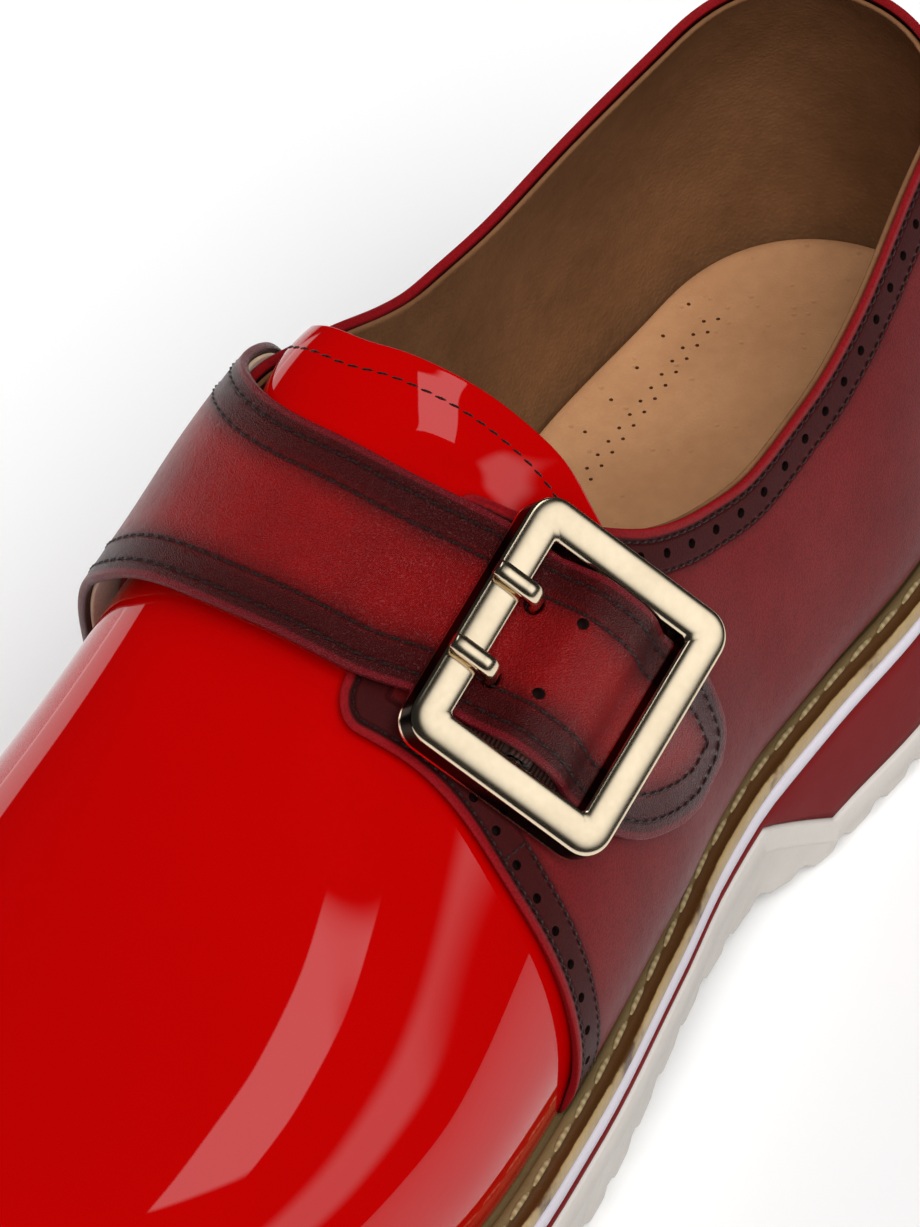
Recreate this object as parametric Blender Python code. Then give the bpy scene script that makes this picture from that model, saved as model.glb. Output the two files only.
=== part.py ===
"""Monk strap shoe, left foot, on a one-piece wedge sole.

Every length in the tables and named sizes is in millimetres. A station is the distance from the back
of the heel along the shoe. Side -1 is lateral (the buckle side), side +1 is medial. Heights of the
upper are measured from the top of the welt. The shoe points along -X and its lateral side faces -Y.
"""

import math

import bmesh
import bpy
from mathutils import Matrix, Vector

MM = 0.001
LATERAL, MEDIAL = -1, 1

# ---------------------------------------------------------------- driving sizes
SOLE_LENGTH = 272.0
BALL_STATION = 175.0
WELT_HEIGHT_AT_BALL = 27.2
WEDGE_SLOPE = 0.054          # rise of the welt towards the heel, mm per mm
TOE_SPRING = 9.5
SPRING_START = 185.0
SEAM_GAP = 0.3               # space between neighbouring pieces
FEATHER_INSET = 5.0          # the upper meets the welt this far inside the sole's edge
WALL = 2.0                   # thickness of the vamp
QUARTER_LIFT = 1.6           # the quarters' outer face above the vamp's
QUARTER_WALL = 2.2
HEEL_PIVOT = 34.0            # behind this station the sections turn about a vertical line
HEEL_ROUND, TOE_ROUND = 2.2, 2.2
TOE_BOX_START, TOE_BOX_ROUND = 230.0, 2.4
OUTLINE_ROUND_START = 200.0
WIDEST_SHARE = 0.16          # share of a section's parameter below its widest point
THROAT_STATION = 142.0
QUARTER_FRONT = 161.0        # the quarters' front edge

STRIPE_DEPTH, STRIPE_THICKNESS = 3.0, 4.0
MIDSOLE_DEPTH = STRIPE_DEPTH + STRIPE_THICKNESS + SEAM_GAP
MIDSOLE_FRONT_THICKNESS = 0.9
HEEL_BAND_TOP = 9.5          # top of the outsole's side under the thick midsole
SLANT_REAR, SLANT_FRONT = 82.0, 100.0
BAND_HEIGHT = 4.5
LUG_PITCH, LUG_DEPTH = 9.0, 2.2
ARCH_HEIGHT, ARCH_REAR, ARCH_FRONT = 3.0, 76.0, 150.0
HEEL_BEVEL = 1.6


class Table:
    """Rows of numbers under named columns, read with a smooth curve that never overshoots."""

    def __init__(self, columns, rows):
        self.keys = [row[0] for row in rows]
        self.columns = {name: [row[i] for row in rows] for i, name in enumerate(columns)}
        self.slopes = {name: self._slopes(values) for name, values in self.columns.items()}

    def _slopes(self, values):
        steps = [b - a for a, b in zip(self.keys, self.keys[1:])]
        rises = [(b - a) / step for a, b, step in zip(values, values[1:], steps)]
        slopes = [rises[0]]
        for i in range(1, len(rises)):
            before, after = rises[i - 1], rises[i]
            if before * after <= 0:
                slopes.append(0.0)
            else:
                w1 = 2 * steps[i] + steps[i - 1]
                w2 = steps[i] + 2 * steps[i - 1]
                slopes.append((w1 + w2) / (w1 / before + w2 / after))
        return slopes + [rises[-1]]

    def at(self, name, key):
        keys, values, slopes = self.keys, self.columns[name], self.slopes[name]
        key = min(max(key, keys[0]), keys[-1])
        i = 0
        while i < len(keys) - 2 and key > keys[i + 1]:
            i += 1
        step = keys[i + 1] - keys[i]
        f = (key - keys[i]) / step
        return (
            values[i] * (1 + 2 * f) * (1 - f) ** 2
            + slopes[i] * step * f * (1 - f) ** 2
            + values[i + 1] * f * f * (3 - 2 * f)
            + slopes[i + 1] * step * f * f * (f - 1)
        )


OUTLINE = Table(
    ("station", "centre", "half_width"),
    [
        (0, 0.0, 33.5),
        (30, -1.1, 33.5),
        (60, -2.2, 34.4),
        (100, -3.6, 34.8),
        (130, -4.4, 39.5),
        (160, -4.6, 46.0),
        (190, -4.1, 49.8),
        (215, -2.6, 49.5),
        (240, 0.2, 48.6),
        (272, 6.0, 47.0),
    ],
)
# "square" is the power of the section's curve: 2 is an ellipse, more is fuller
SECTIONS = Table(
    ("station", "ridge_y", "ridge_z", "square_lateral", "square_medial", "swell_lateral", "swell_medial", "widest_z"),
    [
        (34, 0.0, 74.0, 2.0, 2.0, 2.0, 2.0, 14.0),
        (60, 1.5, 77.0, 1.9, 2.0, 3.0, 2.5, 13.0),
        (90, 5.0, 81.0, 1.8, 2.2, 3.5, 3.0, 12.0),
        (120, 10.0, 80.0, 1.75, 2.6, 3.5, 3.0, 12.0),
        (150, 11.0, 67.0, 1.75, 2.6, 2.5, 2.0, 12.0),
        (180, 10.0, 52.0, 1.9, 2.4, 1.5, 1.5, 11.0),
        (205, 8.0, 42.5, 2.1, 2.3, 1.2, 1.2, 10.0),
        (230, 7.0, 36.0, 2.3, 2.3, 1.0, 1.0, 9.0),
        (255, 6.0, 30.0, 2.4, 2.4, 0.8, 0.8, 8.0),
    ],
)
# where the lower walls end: the collar line as far as the throat, then a line along the vamp
COLLAR = Table(
    ("station", "lateral", "medial"),
    [
        (5, 0.665, 0.665),
        (12, 0.660, 0.660),
        (22, 0.635, 0.645),
        (36, 0.590, 0.605),
        (60, 0.512, 0.540),
        (74, 0.476, 0.515),
        (88, 0.463, 0.510),
        (98, 0.480, 0.535),
        (107, 0.513, 0.570),
        (115, 0.565, 0.615),
        (122, 0.630, 0.665),
        (126, 0.677, 0.695),
        (129, 0.737, 0.725),
        (135, 0.757, 0.748),
        (142, 0.765, 0.765),
        (156, 0.770, 0.770),
        (161, 0.740, 0.745),
        (200, 0.700, 0.700),
        (267, 0.700, 0.700),
    ],
)


def rounded(x, power):
    """Quarter of a superellipse: 1 at x = 0, 0 at x = 1."""
    x = min(max(x, 0.0), 1.0)
    return (1 - x**power) ** (1 / power)


def blend(x, low, high):
    """0 below low, 1 above high, smooth between."""
    x = min(max((x - low) / (high - low), 0.0), 1.0)
    return x * x * (3 - 2 * x)


# ---------------------------------------------------------------- the sole's shape
def sole_half_width(station):
    width = OUTLINE.at("half_width", station)
    width *= rounded((HEEL_PIVOT - station) / HEEL_PIVOT, HEEL_ROUND)
    return width * rounded((station - OUTLINE_ROUND_START) / (SOLE_LENGTH - OUTLINE_ROUND_START), TOE_ROUND)


def sole_edge(station, side):
    return OUTLINE.at("centre", station) + side * sole_half_width(station)


def spring(station):
    reach = max(station - SPRING_START, 0.0) / (SOLE_LENGTH - SPRING_START)
    return TOE_SPRING * reach**2


def welt_top(station):
    return WELT_HEIGHT_AT_BALL + WEDGE_SLOPE * (BALL_STATION - station) + spring(station)


def outsole_top(station):
    """The outsole's top: low under the heel's midsole, high under the forefoot."""
    front = welt_top(station) - MIDSOLE_DEPTH - MIDSOLE_FRONT_THICKNESS - SEAM_GAP
    reach = min(max((station - SLANT_REAR) / (SLANT_FRONT - SLANT_REAR), 0.0), 1.0)
    return HEEL_BAND_TOP + (front - HEEL_BAND_TOP) * reach


def outsole_bottom(station):
    arch = ARCH_HEIGHT * blend(station, ARCH_REAR, ARCH_REAR + 22) * (1 - blend(station, ARCH_FRONT - 28, ARCH_FRONT))
    bevel = HEEL_BEVEL * (1 - blend(station, 0, 14))
    return spring(station) + arch + bevel


# ---------------------------------------------------------------- the last's shape
TOE_TIP = SOLE_LENGTH - FEATHER_INSET


def feather(station, side):
    """Where the upper meets the welt."""
    width = OUTLINE.at("half_width", station) - FEATHER_INSET
    width *= rounded((HEEL_PIVOT - station) / (HEEL_PIVOT - FEATHER_INSET), HEEL_ROUND)
    width *= rounded((station - OUTLINE_ROUND_START) / (TOE_TIP - OUTLINE_ROUND_START), TOE_ROUND)
    return OUTLINE.at("centre", station) + side * width


def section(side, station, v):
    """Across-shoe place and height above the welt of a section's point, v from feather 0 to ridge 1."""
    name = "lateral" if side == LATERAL else "medial"
    power = 2 / SECTIONS.at("square_" + name, station)
    toe = (station - TOE_BOX_START) / (TOE_TIP - TOE_BOX_START)
    end = rounded(toe, TOE_BOX_ROUND)
    ridge_y = SECTIONS.at("ridge_y", station)
    if toe > 0:
        ridge_y += (OUTLINE.at("centre", TOE_TIP) - SECTIONS.at("ridge_y", 255)) * toe**2
    ridge_z = SECTIONS.at("ridge_z", station) * end
    widest_z = SECTIONS.at("widest_z", station) * end
    foot = feather(station, side)
    widest = foot + side * SECTIONS.at("swell_" + name, station) * end
    if v < WIDEST_SHARE:
        below = 1 - v / WIDEST_SHARE
        return widest - (widest - foot) * below**2, widest_z * (1 - below)
    angle = (v - WIDEST_SHARE) / (1 - WIDEST_SHARE) * math.pi / 2
    across = max(math.cos(angle), 0.0) ** power
    return ridge_y + (widest - ridge_y) * across, widest_z + (ridge_z - widest_z) * math.sin(angle) ** power


def last_point(side, station, v):
    """Point on the vamp's outer surface. Behind the heel pivot the section is turned, not moved."""
    if station >= HEEL_PIVOT:
        y, z = section(side, station, v)
        return Vector((-station, y, z + welt_top(station)))
    turn = max(station - FEATHER_INSET, 0.0) / (HEEL_PIVOT - FEATHER_INSET) * math.pi / 2
    y, z = section(side, HEEL_PIVOT, v)
    pivot_y = SECTIONS.at("ridge_y", HEEL_PIVOT)
    centre = OUTLINE.at("centre", HEEL_PIVOT)
    foot = feather(HEEL_PIVOT, side)
    lean = (y - pivot_y) / (foot - pivot_y)
    back = (HEEL_PIVOT - FEATHER_INSET) * math.cos(turn) ** (2 / HEEL_ROUND)
    across = (foot - centre) * math.sin(turn) ** (2 / HEEL_ROUND) + centre * math.sin(turn)
    t = HEEL_PIVOT - back * lean
    return Vector((-t, pivot_y + (across - pivot_y) * lean, z + welt_top(t)))


def last_normal(side, station, v):
    """Outward unit normal of the last, from short steps along and across it."""
    ds, dv = 0.4, 0.006
    s0, s1 = max(station - ds, FEATHER_INSET + 0.05), min(station + ds, TOE_TIP - 0.05)
    v0, v1 = max(v - dv, 0.0), min(v + dv, 0.9995)
    along = last_point(side, s1, v) - last_point(side, s0, v)
    up = last_point(side, station, v1) - last_point(side, station, v0)
    normal = along.cross(up) * side
    if v < 0.01:
        normal.z = 0.0
    return normal.normalized() if normal.length > 1e-9 else Vector((0, 0, 1))


def skin(side, station, v, lift):
    """Point at a distance outside the last's surface."""
    if v > 0.985:
        return (
            last_point(LATERAL, station, 1.0)
            + (last_normal(LATERAL, station, 0.99) + last_normal(MEDIAL, station, 0.99)).normalized() * lift
        )
    return last_point(side, station, v) + last_normal(side, station, v) * lift


# ---------------------------------------------------------------- place in the row's frame
def middle_shift():
    """Moves the sole's outline so that its box is centred on the origin."""
    stations = [i * 0.5 for i in range(int(SOLE_LENGTH * 2) + 1)]
    low = min(sole_edge(t, LATERAL) for t in stations)
    high = max(sole_edge(t, MEDIAL) for t in stations)
    return Vector((SOLE_LENGTH / 2, -(low + high) / 2, 0.0))


SHIFT = middle_shift()


def in_frame(point):
    return (point + SHIFT) * MM


# ---------------------------------------------------------------- Blender helpers
def clear_scene():
    for old in list(bpy.data.objects):
        bpy.data.objects.remove(old, do_unlink=True)


def collection(name):
    made = bpy.data.collections.new(name)
    bpy.context.scene.collection.children.link(made)
    return made


def material(name, color, roughness, metallic=0.0):
    made = bpy.data.materials.new(name)
    made.use_nodes = True
    shader = made.node_tree.nodes["Principled BSDF"]
    shader.inputs["Base Color"].default_value = (*color, 1.0)
    shader.inputs["Roughness"].default_value = roughness
    shader.inputs["Metallic"].default_value = metallic
    return made


def add_mesh(name, points, faces, home, finish=None):
    """One closed object from points in millimetres; its faces are turned outwards."""
    mesh = bpy.data.meshes.new(name)
    mesh.from_pydata([in_frame(p) for p in points], [], faces)
    shape = bmesh.new()
    shape.from_mesh(mesh)
    bmesh.ops.remove_doubles(shape, verts=shape.verts, dist=0.00001)
    bmesh.ops.recalc_face_normals(shape, faces=shape.faces)
    shape.to_mesh(mesh)
    shape.free()
    made = bpy.data.objects.new(name, mesh)
    if finish:
        mesh.materials.append(finish)
    home.objects.link(made)
    return made


def boolean(target, tool, operation):
    """Joins or cuts with the EXACT solver; the tool stays in the cutters' collection."""
    step = target.modifiers.new(operation.lower(), "BOOLEAN")
    step.object = tool
    step.operation = operation
    step.solver = "EXACT"
    tool.hide_render = True
    tool.display_type = "WIRE"


# ---------------------------------------------------------------- lofts
def sole_stations(count):
    """Stations crowded towards heel and toe, where the outline turns."""
    return [SOLE_LENGTH / 2 * (1 - math.cos(math.pi * i / count)) for i in range(count + 1)]


def sole_ring(stations, inset, height, groove=None):
    """Loop around the sole at an inset from its edge: lateral to the toe, then medial back."""
    path = [(t, LATERAL) for t in stations] + [(t, MEDIAL) for t in reversed(stations[1:-1])]
    edge = [Vector((-t, sole_edge(t, side), 0.0)) for t, side in path]
    loop = []
    for i, (t, _) in enumerate(path):
        ahead, behind = edge[(i + 1) % len(edge)], edge[i - 1]
        tangent = (ahead - behind).normalized()
        inward = Vector((tangent.y, -tangent.x, 0.0))
        point = edge[i] + inward * (inset(t) if callable(inset) else inset)
        point.z = height(-point.x) + (groove[t] if groove else 0.0)
        loop.append(point)
    return loop


def sole_layer(name, rings, home, finish):
    """Solid from rings listed from its top surface down to its bottom; both ends are capped."""
    size = len(rings[0])
    half = size // 2
    points = [p for ring in rings for p in ring]
    faces = []
    for r in range(len(rings) - 1):
        for i in range(size):
            j = (i + 1) % size
            faces.append((r * size + i, r * size + j, (r + 1) * size + j, (r + 1) * size + i))
    for base in (0, (len(rings) - 1) * size):
        for i in range(half):
            quad = [base + i, base + i + 1, base + (size - i - 1) % size, base + (size - i) % size]
            faces.append(tuple(dict.fromkeys(quad)))
    return add_mesh(name, points, faces, home, finish)


def thick_grid(name, outer, inner, home, finish):
    """Solid between two grids of the same rows and columns, closed along its four edges."""
    rows, columns = len(outer), len(outer[0])
    points = [p for row in outer for p in row] + [p for row in inner for p in row]
    back = rows * columns
    faces = []
    for r in range(rows - 1):
        for c in range(columns - 1):
            a, b = r * columns + c, (r + 1) * columns + c
            faces.append((a, b, b + 1, a + 1))
            faces.append((back + a, back + a + 1, back + b + 1, back + b))
    rim = [(0, c) for c in range(columns)] + [(r, columns - 1) for r in range(1, rows)]
    rim += [(rows - 1, c) for c in range(columns - 2, -1, -1)] + [(r, 0) for r in range(rows - 2, 0, -1)]
    for k, (r, c) in enumerate(rim):
        r2, c2 = rim[(k + 1) % len(rim)]
        a, b = r * columns + c, r2 * columns + c2
        faces.append((a, b, back + b, back + a))
    return add_mesh(name, points, faces, home, finish)


# ---------------------------------------------------------------- sole pieces
def make_outsole(home, finish):
    """Band along the side, a bevelled lower side and a tread of cross ribs."""
    lands = []
    k = 0
    while (k + 1) * LUG_PITCH < SOLE_LENGTH - 8:
        start = k * LUG_PITCH + 4
        lands += [(start, 0.0), (start + 1.3, LUG_DEPTH), (start + 3.4, LUG_DEPTH), (start + 4.7, 0.0)]
        k += 1
    toe = [SOLE_LENGTH - 3.6, SOLE_LENGTH - 1.0, SOLE_LENGTH]
    ends = [(t, 0.0) for t in [0.0, 0.35, 1.4, SLANT_REAR, SLANT_FRONT] + toe]
    plan = sorted([(t, d) for t, d in lands if 2.5 < t < SOLE_LENGTH - 5] + ends)
    stations = [t for t, _ in plan]
    groove = dict(plan)

    def bevel(t):
        return 1.8 + 2.4 * blend(t, SLANT_REAR, SLANT_FRONT)

    rings = [
        sole_ring(stations, 0.0, outsole_top),
        sole_ring(stations, 0.0, lambda t: outsole_top(t) - BAND_HEIGHT),
        sole_ring(stations, 0.9, lambda t: outsole_top(t) - BAND_HEIGHT - 0.5),
        sole_ring(stations, bevel, lambda t: outsole_bottom(t) + 1.0, groove),
        sole_ring(stations, lambda t: bevel(t) + 1.0, outsole_bottom, groove),
    ]
    return sole_layer("outsole", rings, home, finish)


def make_plates(home, finishes):
    """Midsole, stripe and welt, one above the other."""
    stations = sole_stations(42)
    corners = (SLANT_REAR, SLANT_FRONT)
    midsole_stations = sorted([t for t in stations if min(abs(t - c) for c in corners) > 2.5] + list(corners))
    sole_layer(
        "midsole",
        [
            sole_ring(midsole_stations, 0.4, lambda t: welt_top(t) - MIDSOLE_DEPTH),
            sole_ring(midsole_stations, 0.3, lambda t: outsole_top(t) + SEAM_GAP),
        ],
        home,
        finishes["midsole"],
    )
    sole_layer(
        "midsole_stripe",
        [
            sole_ring(stations, 0.35, lambda t: welt_top(t) - STRIPE_DEPTH),
            sole_ring(stations, 0.35, lambda t: welt_top(t) - STRIPE_DEPTH - STRIPE_THICKNESS),
        ],
        home,
        finishes["midsole_stripe"],
    )
    profile = [  # inset from the sole's edge, height from the welt's top; from the inner bead outwards
        (FEATHER_INSET - 1.6, -SEAM_GAP),
        (FEATHER_INSET - 1.6, 0.5),
        (3.0, 0.5),
        (2.6, -0.7),
        (1.8, -0.7),
        (1.4, 0.0),
        (0.3, 0.0),
        (0.0, SEAM_GAP - STRIPE_DEPTH),
    ]
    rings = [sole_ring(stations, inset, lambda t, up=up: welt_top(t) + up) for inset, up in profile]
    sole_layer("welt", rings, home, finishes["welt"])


def inside_wall(height):
    """Inset of the footbed's edge at a height above the welt: it follows the wall's swell."""

    def inset(station):
        level = 1 - height / SECTIONS.at("widest_z", station)
        swell = min(SECTIONS.at("swell_lateral", station), SECTIONS.at("swell_medial", station))
        toe = 3.5 * blend(station, 225, TOE_TIP)
        return FEATHER_INSET + WALL + 0.7 + toe - 0.9 * swell * (1 - level**2)

    return inset


def make_insole(home, finish):
    """Footbed: thick and slightly cupped, so its edge stands a little above its middle."""
    stations = sole_stations(36)
    cup, middle = 6.0, 4.6
    rings = [
        sole_ring(stations, 18.0, lambda t: welt_top(t) + middle),
        sole_ring(stations, 10.5, lambda t: welt_top(t) + middle + 0.4),
        sole_ring(stations, lambda t: inside_wall(cup)(t) + 0.5, lambda t: welt_top(t) + cup),
        sole_ring(stations, inside_wall(cup - 0.7), lambda t: welt_top(t) + cup - 0.7),
        sole_ring(stations, inside_wall(0.0), lambda t: welt_top(t)),
    ]
    return sole_layer("insole", rings, home, finish)


# ---------------------------------------------------------------- upper
WALL_ROWS, VAMP_ROWS = 8, 7


def front_bend(station, v):
    """Bends the columns near the quarters' front edge forwards as they go down to the welt."""
    near = blend(station, 128, 155) * (1 - blend(station, 172, 215))
    return near * 3.0 * (1 - blend(v, 0.0, 0.45))


def upper_stations():
    heel = [FEATHER_INSET + (HEEL_PIVOT - FEATHER_INSET) * i / 7 for i in range(8)]
    collar = [45, 58, 72, 86, 98, 107, 115, 121.5, 126, 129, 135, THROAT_STATION]
    front = [148, 154, 158, QUARTER_FRONT - 0.25, QUARTER_FRONT + 0.25, 168, 178, 190, 202, 213]
    toe = [TOE_TIP - (TOE_TIP - 220) * (1 - math.sin(math.pi / 2 * i / 9)) for i in range(9)]
    return heel + collar + front + toe


def wall_offsets(station, v, on_vamp):
    """Outer and inner faces of the shell, as distances from the last's surface."""
    if on_vamp or station > QUARTER_FRONT:
        return 0.0, -WALL
    lift = 0.3 + (QUARTER_LIFT - 0.3) * blend(v, 0.0, 0.08)
    return lift, min(lift - WALL, QUARTER_LIFT - QUARTER_WALL)


def make_upper(home, finish):
    stations = upper_stations()
    points, index = [], {}

    def add(key, point):
        index[key] = len(points)
        points.append(point)

    for layer in (0, 1):
        for i, s in enumerate(stations):
            for side in (LATERAL, MEDIAL):
                name = "lateral" if side == LATERAL else "medial"
                limit = COLLAR.at(name, s)
                for j in range(WALL_ROWS + 1):
                    if i == 0 and side == MEDIAL:
                        index[layer, side, i, j] = index[layer, LATERAL, i, j]
                        continue
                    v = limit * j / WALL_ROWS
                    lift = wall_offsets(s, v, False)[layer]
                    add((layer, side, i, j), skin(side, s + front_bend(s, v), v, lift))
                if s < THROAT_STATION:
                    continue
                offsets = wall_offsets(s, 1.0, True)
                for c in range(VAMP_ROWS + 1):
                    if c == VAMP_ROWS and side == MEDIAL:
                        index[layer, side, i, "vamp", c] = index[layer, LATERAL, i, "vamp", c]
                        continue
                    v = limit + 0.006 + (1 - limit - 0.006) * c / VAMP_ROWS
                    add((layer, side, i, "vamp", c), skin(side, s, v, offsets[layer]))
        tip = last_point(LATERAL, TOE_TIP, 0.0)
        add((layer, "tip"), tip + Vector((WALL * layer, 0, 0)))
    faces = []
    last = len(stations) - 1
    throat = stations.index(THROAT_STATION)

    def column(layer, side, i):
        """Vertices of one column, from the feather line up."""
        keys = [(layer, side, i, j) for j in range(WALL_ROWS + 1)]
        if i >= throat:
            keys += [(layer, side, i, "vamp", c) for c in range(VAMP_ROWS + 1)]
        return [index[k] for k in keys]

    for layer in (0, 1):
        for side in (LATERAL, MEDIAL):
            for i in range(last):
                near, far = column(layer, side, i), column(layer, side, i + 1)
                for j in range(min(len(near), len(far)) - 1):
                    faces.append((near[j], far[j], far[j + 1], near[j + 1]))
            end = column(layer, side, last)
            for j in range(len(end) - 1):
                faces.append((end[j], index[layer, "tip"], end[j + 1]))
    for side in (LATERAL, MEDIAL):
        feet = [[column(layer, side, i)[0] for i in range(last + 1)] + [index[layer, "tip"]] for layer in (0, 1)]
        for i in range(last + 1):
            faces.append((feet[0][i], feet[0][i + 1], feet[1][i + 1], feet[1][i]))
        rim = []
        for layer in (0, 1):
            path = [column(layer, side, i)[WALL_ROWS] for i in range(throat + 1)]
            rim.append(path + column(layer, side, throat)[WALL_ROWS + 1 :])
        for i in range(len(rim[0]) - 1):
            faces.append((rim[0][i], rim[0][i + 1], rim[1][i + 1], rim[1][i]))
    return add_mesh("upper", points, faces, home, finish)


# ---------------------------------------------------------------- tongue
TONGUE_THICKNESS = 2.4
TONGUE_TOP = Table(
    ("across", "station"),
    [(-1.0, 113.5), (-0.78, 113.0), (-0.5, 115.0), (-0.2, 118.5), (0.0, 120.5), (0.3, 120.0), (0.6, 118.5), (1.0, 118.5)],
)
TONGUE_SIDE_V = 0.50


def make_tongue(home, finish):
    """Flush with the vamp in front, dipping under the quarters at its sides."""
    outer, inner = [], []
    for r in range(8):
        outer_row, inner_row = [], []
        for c in range(-10, 11):
            across = c / 10
            side = LATERAL if c < 0 else MEDIAL
            v = 1 - (1 - TONGUE_SIDE_V) * abs(across)
            top = TONGUE_TOP.at("station", across)
            station = top + (THROAT_STATION - 0.6 - top) * r / 7
            edge = COLLAR.at("lateral" if side == LATERAL else "medial", station)
            dip = 1.5 * (1 - blend(v, edge + 0.02, edge + 0.12))
            outer_row.append(skin(side, station, v, -dip))
            inner_row.append(skin(side, station, v, -dip - TONGUE_THICKNESS))
        outer.append(outer_row)
        inner.append(inner_row)
    return thick_grid("tongue", outer, inner, home, finish)


# ---------------------------------------------------------------- buckle
FRAME_ACROSS, FRAME_ALONG = 38.9, 34.2      # outside sizes across and along the strap
BAR_WIDTH, BAR_THICKNESS = 5.4, 3.0
FRAME_CORNER = 4.2                          # outside corner radius
BUCKLE_STATION, BUCKLE_Y, BUCKLE_Z = 137.6, -33.6, 82.9
BUCKLE_FALL, BUCKLE_RISE, BUCKLE_TWIST = 47.8, 21.6, 1.1   # degrees
CENTRE_BAR_RADIUS, CENTRE_BAR_DROP = 1.1, 1.3
LOOP_INNER, LOOP_OUTER = 1.4, 2.3           # radii of what is wrapped round the centre bar
PRONG_WIDTH = 2.8
PRONG_PLACES = {"prong_rear": 7.2, "prong_front": -4.6}


def buckle_axes():
    """Unit vectors of the frame's plane: along the strap outwards, across it heelwards, and its normal."""
    fall, rise, twist = (math.radians(a) for a in (BUCKLE_FALL, BUCKLE_RISE, BUCKLE_TWIST))
    across = Vector((math.cos(rise), 0, math.sin(rise)))
    up = Vector((-math.sin(rise), 0, math.cos(rise)))
    outwards = Vector((0, -1, 0))
    along = outwards * math.cos(fall) - up * math.sin(fall)
    normal = up * math.cos(fall) + outwards * math.sin(fall)
    return (
        along * math.cos(twist) + across * math.sin(twist),
        across * math.cos(twist) - along * math.sin(twist),
        normal,
    )


BUCKLE_CENTRE = Vector((-BUCKLE_STATION, BUCKLE_Y, BUCKLE_Z))
ALONG, ACROSS, NORMAL = buckle_axes()


def at_buckle(along, across, out):
    return BUCKLE_CENTRE + ALONG * along + ACROSS * across + NORMAL * out


def place_at_buckle(made, along=0.0, across=0.0, out=0.0):
    """Stands an object with its X along the strap, Y across it and Z out of the frame."""
    turn = Matrix((ALONG, ACROSS, NORMAL)).transposed().to_4x4()
    made.matrix_world = Matrix.Translation(in_frame(at_buckle(along, across, out))) @ turn
    return made


def local_mesh(name, points, faces, home, finish=None):
    """As add_mesh, with points in the buckle's own axes."""
    return add_mesh(name, [at_buckle(*p) for p in points], faces, home, finish)


def extrude_profile(profile, low, high):
    """Points and faces of a strip whose side outline is given along and out of the frame."""
    size = len(profile)
    points = [(a, low, n) for a, n in profile] + [(a, high, n) for a, n in profile]
    faces = [tuple(range(size)), tuple(range(2 * size - 1, size - 1, -1))]
    faces += [(i, (i + 1) % size, size + (i + 1) % size, size + i) for i in range(size)]
    return points, faces


def cylinder_at_buckle(name, radius, low, high, out, home, sides=20):
    """Cylinder with its axis across the strap."""
    bpy.ops.mesh.primitive_cylinder_add(vertices=sides, radius=radius * MM, depth=(high - low) * MM)
    made = bpy.context.object
    made.name = name
    made.data.transform(Matrix.Rotation(math.pi / 2, 4, "X"))
    for owner in list(made.users_collection):
        owner.objects.unlink(made)
    home.objects.link(made)
    return place_at_buckle(made, 0.0, (low + high) / 2, out)


def make_buckle_frame(home, cutters, finish):
    """A rounded rectangle swept with a domed section, and the centre bar joined to it."""
    half_along, half_across = FRAME_ALONG / 2, FRAME_ACROSS / 2
    section_shape = [(0.0, -1.0), (0.5, -1.5), (BAR_WIDTH - 0.7, -1.5), (BAR_WIDTH, -0.9), (BAR_WIDTH, 0.4)]
    section_shape += [(BAR_WIDTH - 1.2, 1.25), (BAR_WIDTH / 2, 1.5), (1.2, 1.25), (0.0, 0.4)]
    path = []
    for corner in range(4):
        for step in range(5):
            angle = math.pi / 2 * (corner + step / 4)
            path.append((corner, angle))
    signs = [(1, 1), (-1, 1), (-1, -1), (1, -1)]
    points = []
    for corner, angle in path:
        sx, sy = signs[corner]
        cx, cy = sx * (half_along - FRAME_CORNER), sy * (half_across - FRAME_CORNER)
        outward = Vector((math.cos(angle), math.sin(angle)))
        for inset, out in section_shape:
            reach = FRAME_CORNER - inset
            if reach < 0.4:
                # inside the corner's centre the two bars meet in a small fillet
                px = cx + (reach - 0.4) * sx + 0.4 * outward.x
                py = cy + (reach - 0.4) * sy + 0.4 * outward.y
            else:
                px, py = cx + reach * outward.x, cy + reach * outward.y
            points.append((px, py, out))
    size, count = len(section_shape), len(path)
    faces = []
    for i in range(count):
        for j in range(size):
            a, b = i * size, ((i + 1) % count) * size
            faces.append((a + j, b + j, b + (j + 1) % size, a + (j + 1) % size))
    frame = local_mesh("buckle_frame", points, faces, home, finish)
    reach = half_across - BAR_WIDTH / 2
    bar = cylinder_at_buckle("centre_bar", CENTRE_BAR_RADIUS, -reach, reach, -CENTRE_BAR_DROP + 0.6, cutters)
    boolean(frame, bar, "UNION")
    return frame


BAR_OUT = -CENTRE_BAR_DROP + 0.6


def make_prongs(home, cutters, finish):
    """Each prong is a loop on the centre bar with a tongue that crosses the strap to the inner bar."""
    for name, place in PRONG_PLACES.items():
        low, high = place - PRONG_WIDTH / 2, place + PRONG_WIDTH / 2
        profile = [(-1.2, BAR_OUT + 1.1), (-1.2, BAR_OUT - 1.3), (-4.6, -1.7), (-7.4, -0.6), (-10.9, 1.85), (-16.4, 1.85)]
        profile += [(-17.0, 2.3), (-16.7, 3.2), (-11.2, 3.35), (-8.5, 1.1), (-5.2, -0.35)]
        prong = local_mesh(name, *extrude_profile(profile, low, high), home, finish)
        ring = cylinder_at_buckle(name + "_loop", LOOP_OUTER, low, high, BAR_OUT, cutters)
        boolean(prong, ring, "UNION")
        hole = cylinder_at_buckle(name + "_bore", LOOP_INNER, low - 1, high + 1, BAR_OUT, cutters)
        boolean(prong, hole, "DIFFERENCE")


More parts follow.
